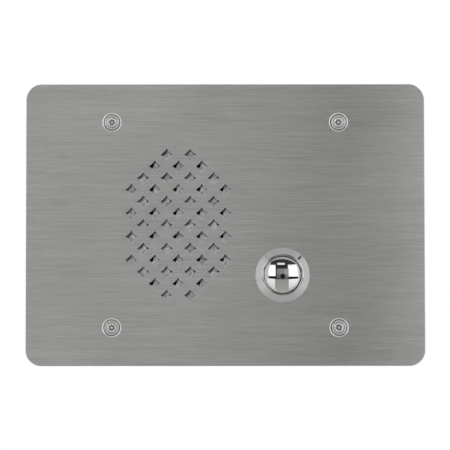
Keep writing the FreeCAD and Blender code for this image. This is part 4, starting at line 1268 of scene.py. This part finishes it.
def add_strip(shape, points, width, low, high):
    """Add a flat strip of copper along points in x and z, with mitred bends, between two depths."""
    points = [Vector(point) for point in points]
    sides = []
    for index, point in enumerate(points):
        arriving = (point - points[index - 1]).normalized() if index else None
        leaving = (points[index + 1] - point).normalized() if index + 1 < len(points) else None
        along = (arriving or leaving) + (leaving or arriving)
        along.normalize()
        across = Vector((-along.y, along.x))
        reach = width / 2 / max(0.5, along.dot(leaving or arriving))
        sides.append((point + across * reach, point - across * reach))
    rows = []
    for left, right in sides:
        corners = ((left, low), (right, low), (right, high), (left, high))
        rows.append([shape.verts.new((spot.x * MM, y * MM, spot.y * MM)) for spot, y in corners])
    for before, after in zip(rows, rows[1:]):
        for side in range(4):
            turn = (side + 1) % 4
            shape.faces.new((before[side], before[turn], after[turn], after[side]))
    shape.faces.new(rows[0])
    shape.faces.new(reversed(rows[-1]))


trace_width = 0.55
trace_height = 0.04
# Runs of copper on the board's back, as x from the board's middle and z
traces = (
    ((-11.2, 3.6), (-8.6, 6.2), (-8.6, 22.0), (-5.3, 25.3)),
    ((-12.6, 6.2), (-12.6, 26.0), (-9.0, 29.6), (-6.2, 29.6)),
    ((-4.4, 26.4), (-1.6, 26.4)),
    ((0.2, 26.4), (3.9, 28.4), (3.9, 29.0)),
    ((-4.4, 29.6), (-1.6, 29.6)),
    ((0.2, 29.6), (3.0, 29.6)),
    ((4.8, 29.6), (7.6, 26.8), (10.0, 26.8), (10.0, 25.6)),
    ((5.4, 20.0), (5.4, 17.6), (6.2, 16.8), (6.2, -15.6), (9.0, -18.4)),
    ((-11.2, -1.6), (-9.4, -3.4), (-9.4, -14.0), (-7.0, -16.4)),
    ((-12.8, -3.0), (-12.8, -15.4)),
    ((3.4, -16.6), (3.4, -15.2)),
    ((7.4, -20.0), (8.8, -21.6), (9.2, -21.6)),
    ((10.7, -18.4), (12.7, -18.4)),
    ((10.7, -21.6), (12.7, -21.6)),
    ((13.5, -20.8), (13.5, -19.2)),
    ((13.5, -22.4), (13.5, -24.0)),
    ((12.7, -24.8), (9.0, -28.4), (6.7, -30.0)),
    ((-1.0, -25.2), (-1.0, -27.2)),
    ((-6.3, -28.2), (-4.0, -28.2), (-3.2, -29.0)),
    ((-6.3, -31.4), (-4.2, -31.4)),
    ((-8.0, -28.2), (-11.0, -25.4)),
    ((1.8, -31.2), (3.6, -30.6)),
    ((-14.2, 14.0), (-14.2, 30.0), (-11.0, 32.6), (8.0, 32.6)),
    ((14.4, 17.0), (14.4, 31.0)),
)
via_places = (
    (-8.6, 12.0), (-12.6, 18.0), (6.2, 8.0), (6.2, -6.0), (-9.4, -9.0), (-12.8, -9.6), (10.0, 26.8),
    (9.0, -28.4), (-14.2, 22.0), (14.4, 24.0), (8.0, 32.6), (1.6, 23.6), (-2.8, 23.6), (12.0, -30.6),
    (-12.2, -28.6),
)


def make_traces():
    shape = bmesh.new()
    for run in traces:
        points = [(board_x + x, z) for x, z in run]
        add_strip(shape, points, trace_width, board_back, board_back + trace_height)
    piece("board_traces", "circuit_board", shape, copper_under_mask)
    vias = bmesh.new()
    well = board_back + 0.02
    rings = [(0, board_back), (0.52, board_back), (0.52, board_back + 0.06), (0.26, board_back + 0.07)]
    for x, z in via_places:
        add_turned(vias, rings + [(0.20, well), (0, well)], board_x + x, z, 20)
    piece("board_vias", "circuit_board", vias, solder_finish)


def pin_places():
    """Where pins come through the board to its front, as x and z."""
    block_x = middle_of("terminal_block")[0]
    places = [(block_x, (pole - 2.5) * terminal_pitch) for pole in range(6)]
    for header in ("speaker_header", "button_header"):
        x, z = middle_of(header)
        places += [(x, z - half_pin_pitch), (x, z + half_pin_pitch)]
    core_x, core_z = middle_of("transformer_core")
    for x in (core_x - core_pin_reach, core_x + core_pin_reach):
        places += [(x, core_z + step) for step in core_pin_steps]
    trimmer_x, trimmer_z = middle_of("trimmer_body")
    places += [(trimmer_x + x, trimmer_z + z) for x, z in trimmer_pins]
    for x, z in middles_of("filter_capacitors"):
        places += [(x - half_pin_pitch, z), (x + half_pin_pitch, z)]
    return places


def make_solder_joints():
    joint = (
        (0, 0), (1.0, 0), (0.98, 0.06), (0.62, 0.35), (0.42, 0.85), (0.36, joint_reach),
        (0, joint_reach + 0.12),
    )
    rings = [(radius, board_front - height) for radius, height in joint]
    shape = bmesh.new()
    for x, z in pin_places():
        add_turned(shape, rings, x, z, 24)
    piece("solder_joints", "circuit_board", shape, solder_finish, sharp=60)


def make_small_chips():
    bodies = bmesh.new()
    ends = bmesh.new()
    for low, high in boxes_of("small_chips"):
        inner_low = (low[0] + small_chip_end, low[1], low[2] + 0.03)
        inner_high = (high[0] - small_chip_end, high[1] - 0.03, high[2] - 0.03)
        add_block(bodies, inner_low, inner_high, 0.05)
        add_block(ends, low, (low[0] + small_chip_end, high[1], high[2]), 0.08)
        add_block(ends, (high[0] - small_chip_end, low[1], low[2]), high, 0.08)
    stand_in("small_chip_bodies", "small_chips", bodies)
    piece("small_chip_ends", "small_chips", ends, solder_finish, stands_in=True)


def make_chip_legs():
    low, high = (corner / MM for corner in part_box("amplifier_chip"))
    half_width = 0.2
    shape = bmesh.new()
    for side, edge in ((-1, low.x), (1, high.x)):
        for leg in range(8):
            z = (low.z + high.z) / 2 + (leg - 3.5) * 1.0
            for start, end, base, top in leg_parts:
                xs = sorted((edge + side * start, edge + side * end))
                add_block(shape, (xs[0], low.y + base, z - half_width), (xs[1], low.y + top, z + half_width))
    piece("chip_legs", "amplifier_chip", shape, solder_finish)


def make_core_sheets():
    """The transformer's stamped sheets, stacked along X, each with its two windows."""
    low, high = (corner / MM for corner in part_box("transformer_core"))
    limb = 3.0
    window = 4.0
    sheets = 18
    ys = (low.y, low.y + limb, high.y - limb, high.y)
    zs = (low.z, low.z + limb, low.z + limb + window, high.z - limb - window, high.z - limb, high.z)
    shape = bmesh.new()
    pitch = (high.x - low.x) / sheets
    for sheet in range(sheets):
        inset = 0.07 * (sheet % 2)
        xs = (low.x + pitch * sheet + 0.02, low.x + pitch * (sheet + 1) - 0.02)
        grid = {}
        for side, x in enumerate(xs):
            for row, y in enumerate(ys):
                for column, z in enumerate(zs):
                    y_in = y + inset * ((row == 0) - (row == 3))
                    z_in = z + inset * ((column == 0) - (column == 5))
                    grid[side, row, column] = shape.verts.new((x * MM, y_in * MM, z_in * MM))
        cells = {(row, column) for row in range(3) for column in range(5)} - {(1, 1), (1, 3)}
        for row, column in cells:
            around = ((row, column), (row, column + 1), (row + 1, column + 1), (row + 1, column))
            shape.faces.new([grid[0, *corner] for corner in around])
            shape.faces.new([grid[1, *corner] for corner in reversed(around)])
            beyond = ((row - 1, column), (row, column + 1), (row + 1, column), (row, column - 1))
            for (start, end), neighbour in zip(zip(around, around[1:] + around[:1]), beyond):
                if neighbour not in cells:
                    shape.faces.new((grid[0, *start], grid[0, *end], grid[1, *end], grid[1, *start]))
    stand_in("core_sheets", "transformer_core", shape)


def make_capacitors():
    sleeves = bmesh.new()
    tops = bmesh.new()
    for (low, high), (x, z) in zip(boxes_of("filter_capacitors"), middles_of("filter_capacitors")):
        radius = (high[0] - low[0]) / 2
        base, top = low[1], high[1]
        rim = radius - 0.75
        sleeve = eased([
            (0, base + 0.25), (radius - 0.5, base + 0.25), (radius - 0.4, base), (radius, base + 0.3),
            (radius, base + 1.5), (radius - 0.28, base + 1.85), (radius, base + 2.2), (radius, top - 0.35),
            (radius - 0.35, top), (rim, top), (rim, top - 0.22), (0, top - 0.22),
        ], 0.2, 4)
        add_turned(sleeves, sleeve, x, z, 48)

        def scored(angle, depth=top - 0.10):
            cross = min(abs(math.cos(angle)), abs(math.sin(angle)))
            return depth - 0.07 * (cross < 0.16)

        lid = [(0, top - 0.20), (rim - 0.02, top - 0.20), (rim - 0.06, scored), (rim * 0.5, scored)]
        add_turned(tops, lid + [(0, top - 0.16)], x, z, 48)
    stand_in("capacitor_sleeves", "filter_capacitors", sleeves)
    piece("capacitor_tops", "filter_capacitors", tops, can_top_finish, stands_in=True)


def make_screw_heads():
    """Pan heads with a cross recess on the board's four screws."""
    shank_radius = 1.45
    cross_depth = 0.85
    shape = bmesh.new()
    for (low, high), (x, z) in zip(boxes_of("board_screws"), middles_of("board_screws")):
        tip, top = low[1], high[1]
        radius = (high[0] - low[0]) / 2
        rings = [(0, top - 0.10 - cross_depth)]
        for step in range(1, 13):
            reach = 1.75 * step / 12

            def crossed(angle, reach=reach):
                arm = min(abs(reach * math.cos(angle)), abs(reach * math.sin(angle)))
                inside = max(0.0, min(1.0, (0.36 - arm) / 0.10)) * max(0.0, min(1.0, (1.55 - reach) / 0.2))
                return top - 0.10 * (reach / radius) ** 2 - cross_depth * inside

            rings.append((reach, crossed))
        rings += eased([
            (1.85, top - 0.06), (2.2, top - 0.22), (radius, top - 0.75), (radius, board_back),
            (shank_radius, board_back), (shank_radius, board_back - 0.1),
        ], 0.3, 4)
        thread = threaded(shank_radius, 0.3, 0.5, board_back - 0.2, tip + 0.4)
        add_turned(shape, rings + thread + [(1.1, tip), (0, tip)], x, z, 64)
    stand_in("board_screw_heads", "board_screws", shape)


# Leads and magnet

def make_leads():
    kinds = (("black", black_lead), ("red", finishes["lead_insulation"]))
    for node in ("speaker_leads", "button_leads"):
        for solid, (colour, finish) in zip(solids_of(node), kinds):
            piece(f"{node}_{colour}", node, solid, finish, stands_in=True, sharp=50)


def make_magnet():
    for node in ("rear_yoke", "front_pole_plate"):
        nodes[node].data.materials[0] = turned_zinc.material
    stand_in("ring_magnet_eased", "ring_magnet", eased_copy("ring_magnet", 0.25))


make_camera()
make_world()
make_floor()
make_cards()
make_seams()
make_lamps()
make_plate_screws()
make_button_cap()
make_bezel()
make_studs()
make_eased_nodes()
make_plate_glow()
make_traces()
make_solder_joints()
make_small_chips()
make_chip_legs()
make_core_sheets()
make_capacitors()
make_screw_heads()
make_leads()
make_magnet()
make_return_spring()
make_tinsel_leads()
make_membrane("surround", "speaker_surround")
make_membrane("spider", "spider")
make_grille_cloth()
